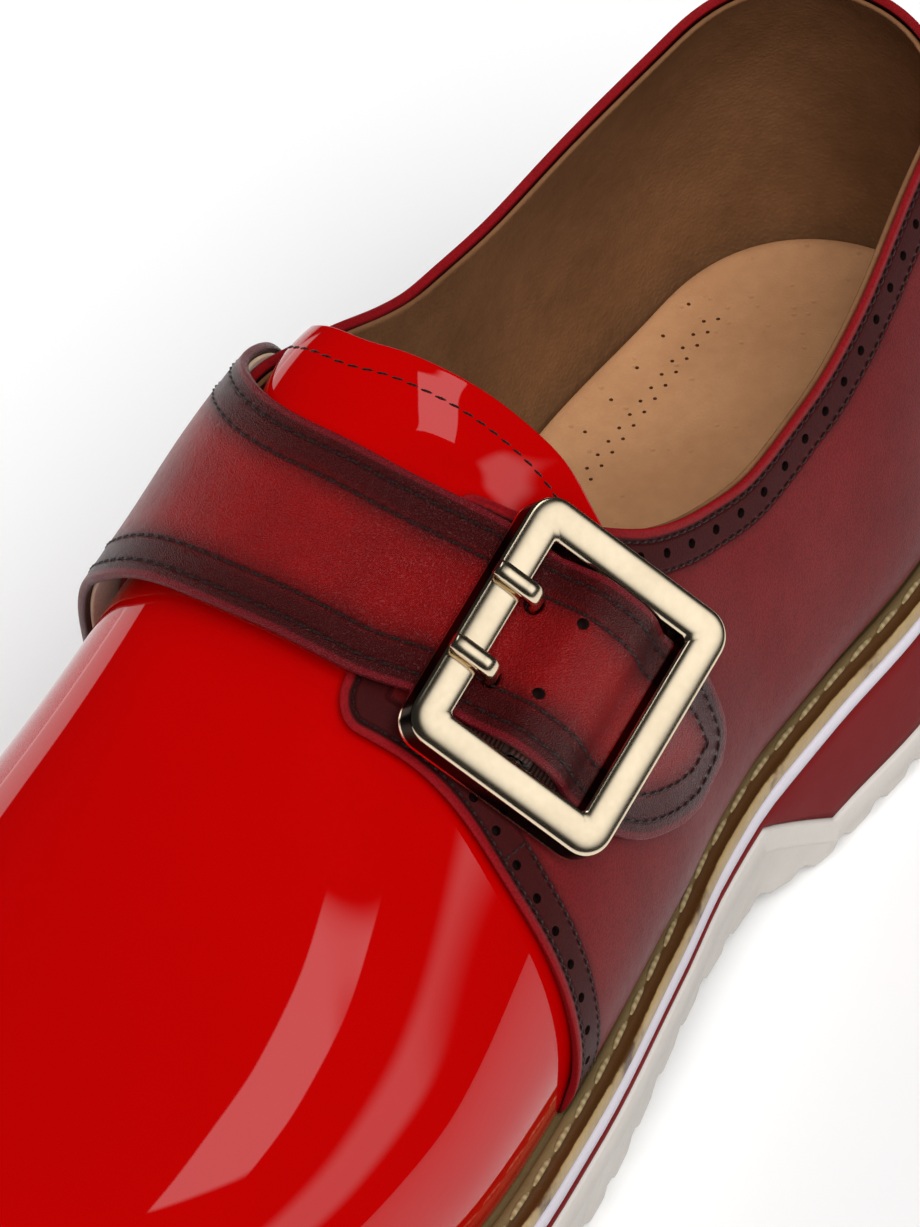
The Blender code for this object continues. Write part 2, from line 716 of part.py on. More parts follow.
TAB_REAR_V, TAB_FRONT_V = 0.57, 0.485      # the tab lies on the quarter between these
TAB_SHARES = (3.2, 1.6, 0.0, -1.6, -3.2)


def make_elastic_tab(home, cutters, finish):
    """A strip on the outer quarter under the strap, with a loop round the centre bar between the prongs."""
    outer, inner = [], []
    for r in range(6):
        v = TAB_REAR_V + (TAB_FRONT_V - TAB_REAR_V) * r / 5
        station = strap_centre(v) - 1.3
        outer.append([skin(LATERAL, station + w, v, 3.0) for w in TAB_SHARES])
        inner.append([skin(LATERAL, station + w, v, QUARTER_LIFT + SEAM_GAP) for w in TAB_SHARES])
    tab = thick_grid("elastic_tab", outer, inner, home, finish)
    low = PRONG_PLACES["prong_front"] + PRONG_WIDTH / 2 + 0.8
    high = PRONG_PLACES["prong_rear"] - PRONG_WIDTH / 2 - 0.8
    profile = [(1.0, BAR_OUT), (-1.0, BAR_OUT), (-1.6, -3.6), (-1.2, -4.0), (1.2, -4.0), (1.6, -3.6)]
    post = local_mesh("tab_post", *extrude_profile(profile, low, high), cutters)
    boolean(tab, post, "UNION")
    ring = cylinder_at_buckle("tab_loop", LOOP_OUTER, low, high, BAR_OUT, cutters)
    boolean(tab, ring, "UNION")
    hole = cylinder_at_buckle("tab_bore", LOOP_INNER, low - 1, high + 1, BAR_OUT, cutters)
    boolean(tab, hole, "DIFFERENCE")


# ---------------------------------------------------------------- strap
STRAP_THICKNESS = 2.1
STRAP_PATH = Table(
    ("across", "station", "half_width", "lift"),
    [
        (-1.70, 127.0, 18.0, 1.95),
        (-1.55, 133.0, 18.0, 2.0),
        (-1.40, 139.0, 17.8, 2.4),
        (-1.27, 143.3, 17.0, 3.2),
        (-1.12, 145.2, 14.8, 3.4),
        (-1.00, 145.6, 13.8, 3.2),
        (-0.85, 143.9, 13.7, 2.8),
        (-0.72, 141.4, 13.7, 2.2),
        (-0.62, 138.8, 13.6, 1.95),
        (-0.50, 134.2, 14.0, 1.95),
        (-0.36, 127.6, 14.5, 1.95),
        (-0.32, 125.3, 12.9, 1.95),
        (-0.285, 122.5, 10.2, 1.95),
        (-0.262, 120.8, 7.0, 1.95),
        (-0.248, 120.0, 3.6, 1.95),
    ],
)


def strap_centre(v):
    """Station of the strap's centre line on the lateral side."""
    return STRAP_PATH.at("station", -v)


def on_strap(across, share, lift):
    """Point of the strap where it lies on the shoe; share runs from its heelward edge -1 to +1."""
    station = STRAP_PATH.at("station", across) + share * STRAP_PATH.at("half_width", across)
    v = 2 + across if across < -1 else -across
    return skin(MEDIAL if across < -1 else LATERAL, station, v, lift + STRAP_PATH.at("lift", across))


STRAP_SHARES = (-1.0, -0.85, -0.5, 0.0, 0.5, 0.85, 1.0)
HUMP = [  # along the strap and height of its under face, in the buckle's axes
    (-13.8, -1.9 - STRAP_THICKNESS),
    (-10.6, -1.6 - STRAP_THICKNESS),
    (-7.2, 0.1 - STRAP_THICKNESS),
    (-3.4, 1.9),
    (0.0, 2.0),
    (3.4, 1.6),
    (6.8, -0.6),
    (9.6, -3.6),
    (13.6, -2.6 - STRAP_THICKNESS),
]


def strap_rows():
    """Rows of under-face and top-face points from the medial base to the tip."""
    rows = []
    for across in (-1.70, -1.62, -1.54, -1.46, -1.38, -1.30, -1.22, -1.14, -1.06, -0.98, -0.90, -0.82, -0.75):
        rows.append([[on_strap(across, w, up) for w in STRAP_SHARES] for up in (0.0, STRAP_THICKNESS)])
    for along, out in HUMP:
        rows.append([[at_buckle(along, -w * 13.4, out + up) for w in STRAP_SHARES] for up in (0.0, STRAP_THICKNESS)])
    for across in (-0.36, -0.32, -0.285, -0.262, -0.248):
        rows.append([[on_strap(across, w, up) for w in STRAP_SHARES] for up in (0.0, STRAP_THICKNESS)])
    return rows


def make_strap(home, cutters, finish):
    rows = strap_rows()
    strap = thick_grid("strap", [top for _, top in rows], [under for under, _ in rows], home, finish)
    for name, place in PRONG_PLACES.items():
        profile = [(-4.4, -5.0), (-4.4, 5.0), (-10.6, 5.0), (-10.6, -5.0)]
        slot = extrude_profile(profile, place - PRONG_WIDTH / 2 - 0.35, place + PRONG_WIDTH / 2 + 0.35)
        boolean(strap, local_mesh(name + "_slot", *slot, cutters), "DIFFERENCE")


# ---------------------------------------------------------------- the shoe
def main():
    clear_scene()
    shoe = collection("monk_strap_shoe")
    cutters = collection("cutters")
    finishes = {
        "outsole": material("outsole", (0.58, 0.53, 0.47), 0.6),
        "midsole": material("midsole", (0.17, 0.022, 0.026), 0.55),
        "midsole_stripe": material("midsole_stripe", (0.62, 0.58, 0.62), 0.5),
        "welt": material("welt", (0.33, 0.22, 0.12), 0.55),
        "upper": material("upper", (0.45, 0.01, 0.01), 0.25),
        "tongue": material("tongue", (0.52, 0.005, 0.005), 0.1),
        "insole": material("insole", (0.38, 0.19, 0.08), 0.7),
        "strap": material("strap", (0.26, 0.01, 0.012), 0.4),
        "buckle": material("buckle", (0.83, 0.72, 0.52), 0.18, 1.0),
        "elastic_tab": material("elastic_tab", (0.03, 0.015, 0.012), 0.9),
    }
    make_outsole(shoe, finishes["outsole"])
    make_plates(shoe, finishes)
    make_insole(shoe, finishes["insole"])
    make_upper(shoe, finishes["upper"])
    make_tongue(shoe, finishes["tongue"])
    make_buckle_frame(shoe, cutters, finishes["buckle"])
    make_prongs(shoe, cutters, finishes["buckle"])
    make_elastic_tab(shoe, cutters, finishes["elastic_tab"])
    make_strap(shoe, cutters, finishes["strap"])


main()
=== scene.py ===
"""Looks of a left monk strap shoe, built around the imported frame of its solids.

Lengths are in millimetres until a mesh is made. A station is the distance from the back of the heel
along the shoe; v runs over a section of the last from the feather line (0) to the ridge (1). Side -1
is lateral, the buckle side, and side +1 is medial. The toe points along -X.
"""

import logging
import math
from dataclasses import dataclass, field
from enum import Enum
from typing import Callable, Sequence

import bmesh
import bpy
import numpy as np
from mathutils import Matrix, Vector
from mathutils.bvhtree import BVHTree
from mathutils.kdtree import KDTree


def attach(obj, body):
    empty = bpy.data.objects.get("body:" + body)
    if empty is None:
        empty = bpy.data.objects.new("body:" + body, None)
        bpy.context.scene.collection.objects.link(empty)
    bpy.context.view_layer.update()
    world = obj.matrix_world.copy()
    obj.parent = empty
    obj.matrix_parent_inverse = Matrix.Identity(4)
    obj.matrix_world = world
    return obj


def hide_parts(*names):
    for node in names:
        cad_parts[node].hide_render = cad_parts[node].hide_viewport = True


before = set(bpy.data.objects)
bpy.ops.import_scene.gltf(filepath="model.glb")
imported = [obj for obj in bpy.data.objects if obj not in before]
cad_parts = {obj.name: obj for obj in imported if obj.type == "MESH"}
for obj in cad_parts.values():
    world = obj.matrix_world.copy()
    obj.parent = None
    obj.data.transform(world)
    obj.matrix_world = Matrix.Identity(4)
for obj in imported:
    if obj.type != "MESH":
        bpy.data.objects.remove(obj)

LOG = logging.getLogger("shoe")
MM = 0.001
join = np.concatenate
Array = np.ndarray
Number = float | Array
Pair = tuple[float, float]
Triple = tuple[float, float, float]
Piece = bpy.types.Object
Material = bpy.types.Material
Socket = bpy.types.NodeSocket


class Side(Enum):
    """The two sides of the shoe."""

    LATERAL = -1
    MEDIAL = 1

    @property
    def label(self) -> str:
        """Name used in the tables' columns."""
        return self.name.lower()


# ---- curves and the last
def rounded(x: Number, power: float) -> Array:
    """Quarter of a superellipse: 1 at x = 0, 0 at x = 1, and a circle at a power of 2."""
    return (1 - np.clip(x, 0.0, 1.0) ** power) ** (1 / power)


def blend(x: Number, low: float, high: float) -> Array:
    """0 below low, 1 above high, smooth between."""
    f = np.clip((np.asarray(x, float) - low) / (high - low), 0.0, 1.0)
    return f * f * (3 - 2 * f)


def bump(x: Number, centre: float, width: float) -> Array:
    """Smooth bump of height 1 at the centre."""
    return np.exp(-(((np.asarray(x, float) - centre) / width) ** 2))


def unit(vectors: Array) -> Array:
    """Vectors of length 1 along the last axis."""
    return vectors / np.maximum(np.linalg.norm(vectors, axis=-1, keepdims=True), 1e-12)


def travelled(points: Array) -> Array:
    """Distance along a line to each of its points."""
    return join(([0.0], np.cumsum(np.linalg.norm(np.diff(points, axis=0), axis=1))))


def turn(count: int) -> Array:
    """Angles of a full turn, evenly spaced."""
    return np.linspace(0, 2 * np.pi, count, endpoint=False)


def spline(points: Array, places: Array, where: Array) -> Array:
    """Natural cubic spline through points.

    Args:
        points: Control points, first axis along the curve.
        places: Rising parameter of each control point.
        where: Parameters to read the curve at.

    Returns:
        Points of the curve, first axis along where.
    """
    step = np.diff(places)
    count = len(places)
    system = np.eye(count)
    right = np.zeros_like(points)
    slope = np.diff(points, axis=0) / step.reshape(-1, *([1] * (points.ndim - 1)))
    for i in range(1, count - 1):
        system[i, i - 1 : i + 2] = step[i - 1], 2 * (step[i - 1] + step[i]), step[i]
        right[i] = 6 * (slope[i] - slope[i - 1])
    bend = np.linalg.solve(system, right.reshape(count, -1)).reshape(points.shape)
    i = np.clip(np.searchsorted(places, where) - 1, 0, count - 2)
    wide = (-1, *([1] * (points.ndim - 1)))
    h, u = step[i].reshape(wide), (where - places[i]).reshape(wide)
    w = h - u
    return (
        (bend[i] * w**3 + bend[i + 1] * u**3) / (6 * h)
        + (points[i] / h - bend[i] * h / 6) * w
        + (points[i + 1] / h - bend[i + 1] * h / 6) * u
    )


class Curves:
    """Named columns of numbers over a station, read with a smooth curve that never overshoots."""

    def __init__(self, names: str, rows: Sequence[tuple[float, ...]]) -> None:
        """Reads the rows; the first number of each is its key.

        Args:
            names: Columns' names, parted by spaces.
            rows: Key and values, keys rising.
        """
        data = np.array(rows, float)
        self.keys = data[:, 0]
        self.columns = {}
        for i, name in enumerate(names.split(), 1):
            self.columns[name] = (data[:, i], self._slopes(data[:, i]))

    def _slopes(self, values: Array) -> Array:
        """Slope at each key, level where the values turn.

        Args:
            values: Column's values.

        Returns:
            Slopes, one a key.
        """
        step = np.diff(self.keys)
        rise = np.diff(values) / step
        w1, w2 = 2 * step[1:] + step[:-1], step[1:] + 2 * step[:-1]
        turning = rise[:-1] * rise[1:] <= 0
        a = np.where(turning, 1.0, rise[:-1])
        b = np.where(turning, 1.0, rise[1:])
        inner = np.where(turning, 0.0, (w1 + w2) / (w1 / a + w2 / b))
        return join((rise[:1], inner, rise[-1:]))

    def at(self, name: str, key: Number) -> Array:
        """Value of a column.

        Args:
            name: Column to read.
            key: Keys to read it at, held inside the table.

        Returns:
            Values, shaped as key.
        """
        values, slopes = self.columns[name]
        key = np.clip(np.asarray(key, float), self.keys[0], self.keys[-1])
        i = np.clip(np.searchsorted(self.keys, key) - 1, 0, len(self.keys) - 2)
        step = self.keys[i + 1] - self.keys[i]
        f = (key - self.keys[i]) / step
        ends = values[i] * (1 + 2 * f) * (1 - f) ** 2 + values[i + 1] * f * f * (3 - 2 * f)
        return ends + step * f * (1 - f) * (slopes[i] * (1 - f) - slopes[i + 1] * f)


@dataclass(frozen=True)
class Sole:
    """Outline and heights of the sole."""

    length: float = 272.0
    heel_pivot: float = 34.0
    round_start: float = 200.0
    roundness: float = 2.2
    ball: float = 175.0
    welt_at_ball: float = 27.2
    wedge: float = 0.054
    spring_start: float = 185.0
    spring_height: float = 9.5
    outline: Curves = Curves(
        "centre half_width",
        [
            (0, 0.0, 33.5), (30, -1.1, 33.5), (60, -2.2, 34.9), (80, -2.9, 33.9), (96, -3.4, 33.7),
            (110, -3.8, 35.2), (130, -4.4, 39.5), (160, -4.6, 46.0), (190, -4.1, 49.8),
            (215, -2.6, 49.5), (240, 0.2, 48.6), (272, 6.0, 47.0),
        ],
    )

    def edge(self, station: Number, side: Number) -> Array:
        """Across-shoe place of the sole's edge.

        Args:
            station: Stations.
            side: -1 or 1.

        Returns:
            Places across the shoe.
        """
        width = self.outline.at("half_width", station)
        width = width * rounded((self.heel_pivot - station) / self.heel_pivot, self.roundness)
        toe = (station - self.round_start) / (self.length - self.round_start)
        return self.outline.at("centre", station) + side * width * rounded(toe, self.roundness)

    def spring(self, station: Number) -> Array:
        """Height by which the toe lifts off the ground."""
        reach = np.maximum(station - self.spring_start, 0.0) / (self.length - self.spring_start)
        return self.spring_height * reach**2

    def welt_top(self, station: Number) -> Array:
        """Height of the welt's top."""
        return self.welt_at_ball + self.wedge * (self.ball - station) + self.spring(station)

    def above_welt(self, rise: float) -> Callable:
        """Height function that runs at a distance above the welt's top."""
        return lambda station: self.welt_top(station) + rise

    def stations(self, count: int, extra: Sequence[float] = ()) -> Array:
        """Stations crowded towards heel and toe.

        Args:
            count: Steps from heel to toe.
            extra: Stations to add, which push their near neighbours out.

        Returns:
            Rising stations.
        """
        base = self.length / 2 * (1 - np.cos(np.pi * np.arange(count + 1) / count))
        kept = [t for t in base if all(abs(t - e) > 0.9 for e in extra)]
        return np.array(sorted([*kept, *extra]))

    def ring(self, stations: Array, inset: Callable | float, height: Callable) -> Array:
        """Loop around the sole, lateral to the toe, then medial back.

        Args:
            stations: Stations of the loop, heel to toe.
            inset: Distance inside the sole's edge, or a function of the station.
            height: Function of the station.

        Returns:
            Points of the loop.
        """
        t = join((stations, stations[-2:0:-1]))
        side = join((-np.ones(len(stations)), np.ones(len(stations) - 2)))
        edge = np.stack((-t, self.edge(t, side)), -1)
        tangent = unit(np.roll(edge, -1, 0) - np.roll(edge, 1, 0))
        depth = inset(t) if callable(inset) else np.full(len(t), inset)
        place = edge + np.stack((tangent[:, 1], -tangent[:, 0]), -1) * depth[:, None]
        return np.column_stack((place, height(-place[:, 0])))


@dataclass(frozen=True)
class Last:
    """Shape that the upper is pulled over; its surface is the vamp's outer face."""

    sole: Sole = Sole()
    feather_inset: float = 5.0
    toe_box: float = 230.0
    toe_power: float = 2.4
    widest_share: float = 0.16
    sections: Curves = Curves(
        "ridge_y ridge_z square_lateral square_medial swell_lateral swell_medial widest_z",
        [
            (34, 0.0, 74.0, 2.0, 2.0, 2.0, 2.0, 14.0),
            (60, 1.5, 77.0, 1.9, 2.0, 3.0, 2.5, 13.0),
            (90, 5.0, 81.0, 1.8, 2.2, 3.5, 3.0, 12.0),
            (120, 10.0, 80.0, 1.75, 2.65, 3.5, 3.0, 12.0),
            (150, 11.0, 67.0, 1.75, 2.25, 2.5, 2.0, 12.0),
            (180, 10.0, 52.0, 1.9, 2.12, 1.5, 1.5, 11.0),
            (205, 8.0, 42.5, 2.1, 2.2, 1.2, 1.2, 10.0),
            (230, 7.0, 36.0, 2.3, 2.3, 1.0, 1.0, 9.0),
            (255, 6.0, 30.0, 2.4, 2.4, 0.8, 0.8, 8.0),
        ],
    )

    @property
    def tip(self) -> float:
        """Station of the toe's tip."""
        return self.sole.length - self.feather_inset

    def feather(self, station: Number, side: Number) -> Array:
        """Across-shoe place where the upper meets the welt.

        Args:
            station: Stations.
            side: -1 or 1.

        Returns:
            Places across the shoe.
        """
        sole = self.sole
        width = sole.outline.at("half_width", station) - self.feather_inset
        heel = (sole.heel_pivot - station) / (sole.heel_pivot - self.feather_inset)
        toe = (station - sole.round_start) / (self.tip - sole.round_start)
        width = width * rounded(heel, sole.roundness) * rounded(toe, sole.roundness)
        return sole.outline.at("centre", station) + side * width

    def _sided(self, name: str, side: Number, station: Number) -> Array:
        """Column of the side that each point is on."""
        lateral = self.sections.at(name + "_lateral", station)
        return np.where(side < 0, lateral, self.sections.at(name + "_medial", station))

    def section(self, side: Number, station: Number, v: Number) -> tuple[Array, Array]:
        """Place across the shoe and height above the welt of points of sections.

        Args:
            side: -1 or 1.
            station: Stations.
            v: Places from feather to ridge.

        Returns:
            Across-shoe places and heights.
        """
        power = 2 / self._sided("square", side, station)
        toe = (station - self.toe_box) / (self.tip - self.toe_box)
        end = rounded(toe, self.toe_power)
        drift = self.sole.outline.at("centre", self.tip) - self.sections.at("ridge_y", 255)
        ridge_y = self.sections.at("ridge_y", station) + drift * np.maximum(toe, 0.0) ** 2
        ridge_z = self.sections.at("ridge_z", station) * end
        widest_z = self.sections.at("widest_z", station) * end
        foot = self.feather(station, side)
        widest = foot + side * self._sided("swell", side, station) * end
        below = 1 - np.minimum(v / self.widest_share, 1.0)
        angle = np.clip((v - self.widest_share) / (1 - self.widest_share), 0.0, 1.0) * np.pi / 2
        across = np.maximum(np.cos(angle), 0.0) ** power
        low = v < self.widest_share
        y = np.where(low, widest - (widest - foot) * below**2, ridge_y + (widest - ridge_y) * across)
        lifted = widest_z + (ridge_z - widest_z) * np.sin(angle) ** power
        return y, np.where(low, widest_z * (1 - below), lifted)

    def point(self, side: Number, station: Number, v: Number) -> Array:
        """Point of the last; behind the heel pivot the section is turned, not moved.

        Args:
            side: -1 or 1.
            station: Stations.
            v: Places from feather to ridge.

        Returns:
            Points, one more axis than the arguments.
        """
        side, station, v = np.broadcast_arrays(side, np.asarray(station, float), np.asarray(v, float))
        pivot, span = self.sole.heel_pivot, self.sole.heel_pivot - self.feather_inset
        y, z = self.section(side, np.maximum(station, pivot), v)
        angle = np.clip((station - self.feather_inset) / span, 0.0, 1.0) * np.pi / 2
        turned = station < pivot
        middle = self.sections.at("ridge_y", pivot)
        centre = self.sole.outline.at("centre", pivot)
        foot = self.feather(pivot, side)
        lean = (y - middle) / (foot - middle)
        bend = 2 / self.sole.roundness
        back = span * np.maximum(np.cos(angle), 0.0) ** bend
        across = (foot - centre) * np.sin(angle) ** bend + centre * np.sin(angle)
        t = np.where(turned, pivot - back * lean, station)
        y = np.where(turned, middle + (across - middle) * lean, y)
        return np.stack((-t, y, z + self.sole.welt_top(t)), -1)

    def normal(self, side: Number, station: Number, v: Number) -> Array:
        """Outward unit normal, from short steps along and across the last.

        Args:
            side: -1 or 1.
            station: Stations.
            v: Places from feather to ridge.

        Returns:
            Unit normals, one more axis than the arguments.
        """
        side, station, v = np.broadcast_arrays(side, np.asarray(station, float), np.asarray(v, float))
        before = self.point(side, np.maximum(station - 0.4, self.feather_inset + 0.05), v)
        along = self.point(side, np.minimum(station + 0.4, self.tip - 0.05), v) - before
        up = self.point(side, station, np.minimum(v + 0.006, 0.9995))
        up = up - self.point(side, station, np.maximum(v - 0.006, 0.0))
        normal = np.cross(along, up) * side[..., None]
        normal[..., 2] = np.where(v < 0.01, 0.0, normal[..., 2])
        return unit(normal)

    def skin(self, side: Number, station: Number, v: Number, lift: Number) -> Array:
        """Points at a distance outside the last.

        Args:
            side: -1 or 1.
            station: Stations.
            v: Places from feather to ridge.
            lift: Distance outwards.

        Returns:
            Points, one more axis than the arguments.
        """
        side, station, v, lift = np.broadcast_arrays(side, station, v, lift)
        out = self.point(side, station, v) + self.normal(side, station, v) * lift[..., None]
        crest = unit(self.normal(-1, station, 0.99) + self.normal(1, station, 0.99))
        crest = self.point(-1, station, 1.0) + crest * lift[..., None]
        return np.where((v > 0.985)[..., None], crest, out)


SOLE = Sole()
LAST = Last()
COLLAR = Curves(
    "lateral medial",
    [
        (5, 0.665, 0.665), (12, 0.660, 0.660), (22, 0.635, 0.645), (36, 0.590, 0.605),
        (60, 0.512, 0.540), (74, 0.476, 0.515), (88, 0.463, 0.510), (98, 0.480, 0.535),
        (107, 0.513, 0.570), (115, 0.565, 0.603), (122, 0.630, 0.645), (126, 0.677, 0.672),
        (129, 0.737, 0.702), (135, 0.757, 0.735), (142, 0.765, 0.757), (156, 0.770, 0.770),
        (161, 0.770, 0.770),
    ],
)


def middle_shift() -> Array:
    """Move that centres the sole's outline on the origin.

    Returns:
        Move in millimetres.
    """
    t = np.arange(0, SOLE.length + 0.25, 0.5)
    middle = (SOLE.edge(t, -1).min() + SOLE.edge(t, 1).max()) / 2
    return np.array((SOLE.length / 2, -middle, 0.0))


SHIFT = middle_shift()


def in_frame(points: Array) -> Array:
    """Points in metres, in the shared frame."""
    return (points + SHIFT) * MM


def in_fit(points: Array) -> Array:
    """Points in millimetres, from the back of the heel."""
    return points / MM - SHIFT


# ---- mesh work
def near_tree(points: Sequence) -> KDTree:
    """Search tree that finds the nearest of some points.

    Args:
        points: Points to search among.

    Returns:
        The tree, which gives back each point's place in the list.
    """
    tree = KDTree(len(points))
    for i, point in enumerate(points):
        tree.insert(point, i)
    tree.balance()
    return tree


def link(name: str, data: bpy.types.ID) -> Piece:
    """Puts a new object in the scene.

    Args:
        name: Object's name.
        data: Mesh, light or camera that it holds.

    Returns:
        The object.
    """
    made = bpy.data.objects.new(name, data)
    bpy.context.scene.collection.objects.link(made)
    return made


@dataclass(frozen=True)
class Punch:
    """Tool that cuts round holes: its radius, length, sides and boolean solver."""

    radius: float
    length: float
    sides: int
    solver: str = "MANIFOLD"


class Bench:
    """Mesh work with Blender's operators; every piece ends at the origin, unturned and unscaled."""

    @staticmethod
    def clear() -> None:
        """Deselects everything."""
        bpy.ops.object.select_all(action="DESELECT")

    @classmethod
    def edit(cls, piece: Piece, *steps: Callable) -> None:
        """Runs operators on a whole mesh in edit mode.

        Args:
            piece: Mesh object.
            steps: Calls to make with everything selected.
        """
        cls.clear()
        piece.select_set(True)
        bpy.context.view_layer.objects.active = piece
        bpy.ops.object.mode_set(mode="EDIT")
        bpy.ops.mesh.select_mode(type="VERT")
        bpy.ops.mesh.select_all(action="SELECT")
        for step in steps:
            step()
        bpy.ops.object.mode_set(mode="OBJECT")

    @classmethod
    def sheet(cls, name: str, points: Array, inside: Sequence[float]) -> Piece:
        """Grid primitive whose vertices are laid on rows and columns of points.

        Args:
            name: Piece's name.
            points: Rows by columns of points in millimetres.
            inside: Point that the sheet's faces look away from.

        Returns:
            The sheet, its faces outwards.
        """
        rows, columns = points.shape[:2]
        cls.clear()
        bpy.ops.mesh.primitive_grid_add(x_subdivisions=columns - 1, y_subdivisions=rows - 1, size=1.0)
        piece = bpy.context.object
        piece.name = piece.data.name = name
        piece.data.vertices.foreach_set("co", in_frame(points).reshape(-1))
        piece.data.update()
        cls.look_away(piece, inside)
        cls.edit(piece, lambda: bpy.ops.mesh.remove_doubles(threshold=0.00001))
        return piece

    @classmethod
    def look_away(cls, piece: Piece, inside: Sequence[float]) -> None:
        """Turns all faces over if they look towards a point.

        Args:
            piece: Mesh object.
            inside: Point inside the shoe.
        """
        heart = Vector(in_frame(np.array(inside, float)))
        faces = piece.data.polygons
        if sum((f.center - heart).dot(f.normal) * f.area for f in faces) < 0:
            cls.edit(piece, bpy.ops.mesh.flip_normals)

    @classmethod
    def loft(cls, name: str, rings: Sequence[Array], spans: int = 2) -> Piece:
        """Closed solid from loops listed from its top down, capped across at both ends.

        Args:
            name: Piece's name.
            rings: Loops of the same even number of points.
            spans: Faces in each row across a cap.

        Returns:
            The solid.
        """
        loops = np.array([join((ring, ring[:1])) for ring in rings])
        piece = cls.sheet(name, loops, (-136, 0, 20))
        shape = bmesh.new()
        shape.from_mesh(piece.data)
        known = list(shape.verts)
        corners = near_tree([corner.co for corner in known])
        for ring in (rings[0], rings[-1]):
            loop = [known[corners.find(Vector(p))[1]] for p in in_frame(ring)]
            size = len(loop)
            rows = []
            for i in range(size // 2 + 1):
                near, far = loop[i], loop[(size - i) % size]
                rows.append([near] * (spans + 1))
                if near is not far:
                    inner = [near.co.lerp(far.co, j / spans) for j in range(1, spans)]
                    rows[-1] = [near, *(shape.verts.new(co) for co in inner), far]
            for first, second in zip(rows, rows[1:]):
                for j in range(spans):
                    quad = (first[j], second[j], second[j + 1], first[j + 1])
                    shape.faces.new(tuple(dict.fromkeys(quad)))
        bmesh.ops.recalc_face_normals(shape, faces=shape.faces)
        shape.to_mesh(piece.data)
        shape.free()
        return piece

    @staticmethod
    def apply(piece: Piece, kind: str, **settings: object) -> Piece:
        """Adds a modifier and applies it.

        Args:
            piece: Mesh object.
            kind: Modifier's type.
            settings: Its properties.

        Returns:
            The piece.
        """
        step = piece.modifiers.new(kind.lower(), kind)
        for key, value in settings.items():
            setattr(step, key, value)
        with bpy.context.temp_override(object=piece, active_object=piece, selected_objects=[piece]):
            bpy.ops.object.modifier_apply(modifier=step.name)
        return piece

    @classmethod
    def smooth(cls, piece: Piece, levels: int) -> Piece:
        """Subdivides smoothly."""
        return cls.apply(piece, "SUBSURF", levels=levels, render_levels=levels)

    @classmethod
    def thicken(cls, piece: Piece, depth: float, rim: int = 0, back: int = 0) -> Piece:
        """Gives a sheet its thickness, inwards.

        Args:
            piece: Sheet.
            depth: Thickness in millimetres.
            rim: Material place of the edge.
            back: Material place of the inner face.

        Returns:
            The piece.
        """
        return cls.apply(
            piece,
            "SOLIDIFY",
            thickness=depth * MM,
            offset=-1.0,
            use_even_offset=False,
            material_offset_rim=rim,
            material_offset=back,
        )

    @classmethod
    def cut(cls, piece: Piece, cutter: Piece, solver: str = "MANIFOLD") -> None:
        """Cuts a mesh away and deletes the cutter."""
        cls.apply(piece, "BOOLEAN", object=cutter, operation="DIFFERENCE", solver=solver)
        bpy.data.objects.remove(cutter, do_unlink=True)

    @staticmethod
    def write(piece: Piece, name: str, values: Array) -> None:
        """Stores a number on each vertex for the materials to read."""
        layer = piece.data.attributes.get(name) or piece.data.attributes.new(name, "FLOAT", "POINT")
        layer.data.foreach_set("value", np.asarray(values, np.float32))

    @staticmethod
    def corners(piece: Piece) -> Array:
        """Vertices in millimetres from the back of the heel.

        Args:
            piece: Mesh object.

        Returns:
            One row a vertex.
        """
        data = np.empty(len(piece.data.vertices) * 3, np.float32)
        piece.data.vertices.foreach_get("co", data)
        return in_fit(data.reshape(-1, 3).astype(float))

    @classmethod
    def nearness(cls, piece: Piece, path: Array) -> Array:
        """Distance of each vertex from a line of points, in millimetres."""
        tree = near_tree(path)
        return np.array([tree.find(p)[2] for p in cls.corners(piece)])

    @staticmethod
    def copies(name: str, template: Piece, frames: Array) -> Piece:
        """One mesh that holds a copy of a template for each frame; the template is deleted.

        Args:
            name: Piece's name.
            template: Mesh in metres around the origin.
            frames: Axes (columns) and place of each copy, count by 3 by 4, in metres.

        Returns:
            The piece.
        """
        data = np.array([v.co for v in template.data.vertices])
        faces = [tuple(f.vertices) for f in template.data.polygons]
        size = len(data)
        spots = np.einsum("nij,kj->nki", frames[:, :, :3], data) + frames[:, None, :, 3]
        mesh = bpy.data.meshes.new(name)
        many = [tuple(i + k * size for i in face) for k in range(len(frames)) for face in faces]
        mesh.from_pydata(spots.reshape(-1, 3).tolist(), [], many)
        along = mesh.attributes.new("along", "FLOAT", "POINT")
        along.data.foreach_set("value", np.tile(data[:, 0] / MM, len(frames)).astype(np.float32))
        bpy.data.objects.remove(template, do_unlink=True)
        return link(name, mesh)

    @classmethod
    def pierce(cls, piece: Piece, holes: "Line", punch: Punch) -> None:
        """Cuts round holes and gives their walls and floors the second material, which paints their shade.

        Args:
            piece: Mesh object.
            holes: Centres and axes of the holes.
            punch: Tool that cuts them.
        """
        cls.clear()
        size = {"radius": punch.radius * MM, "depth": punch.length * MM}
        bpy.ops.mesh.primitive_cylinder_add(vertices=punch.sides, **size)
        cls.cut(piece, cls.copies("punch", bpy.context.object, holes.frames()), punch.solver)
        tree = near_tree(holes.points)
        corners = cls.corners(piece)
        nearest = np.array([tree.find(p)[1] for p in corners])
        away = corners - holes.points[nearest]
        axis = unit(holes.normals)[nearest]
        depth = np.sum(away * axis, axis=1)
        beside = np.linalg.norm(away - axis * depth[:, None], axis=1)
        inside = (beside < punch.radius + 0.03) & (np.abs(depth) < 3.0)
        for face in piece.data.polygons:
            if inside[list(face.vertices)].all():
                face.material_index = 1

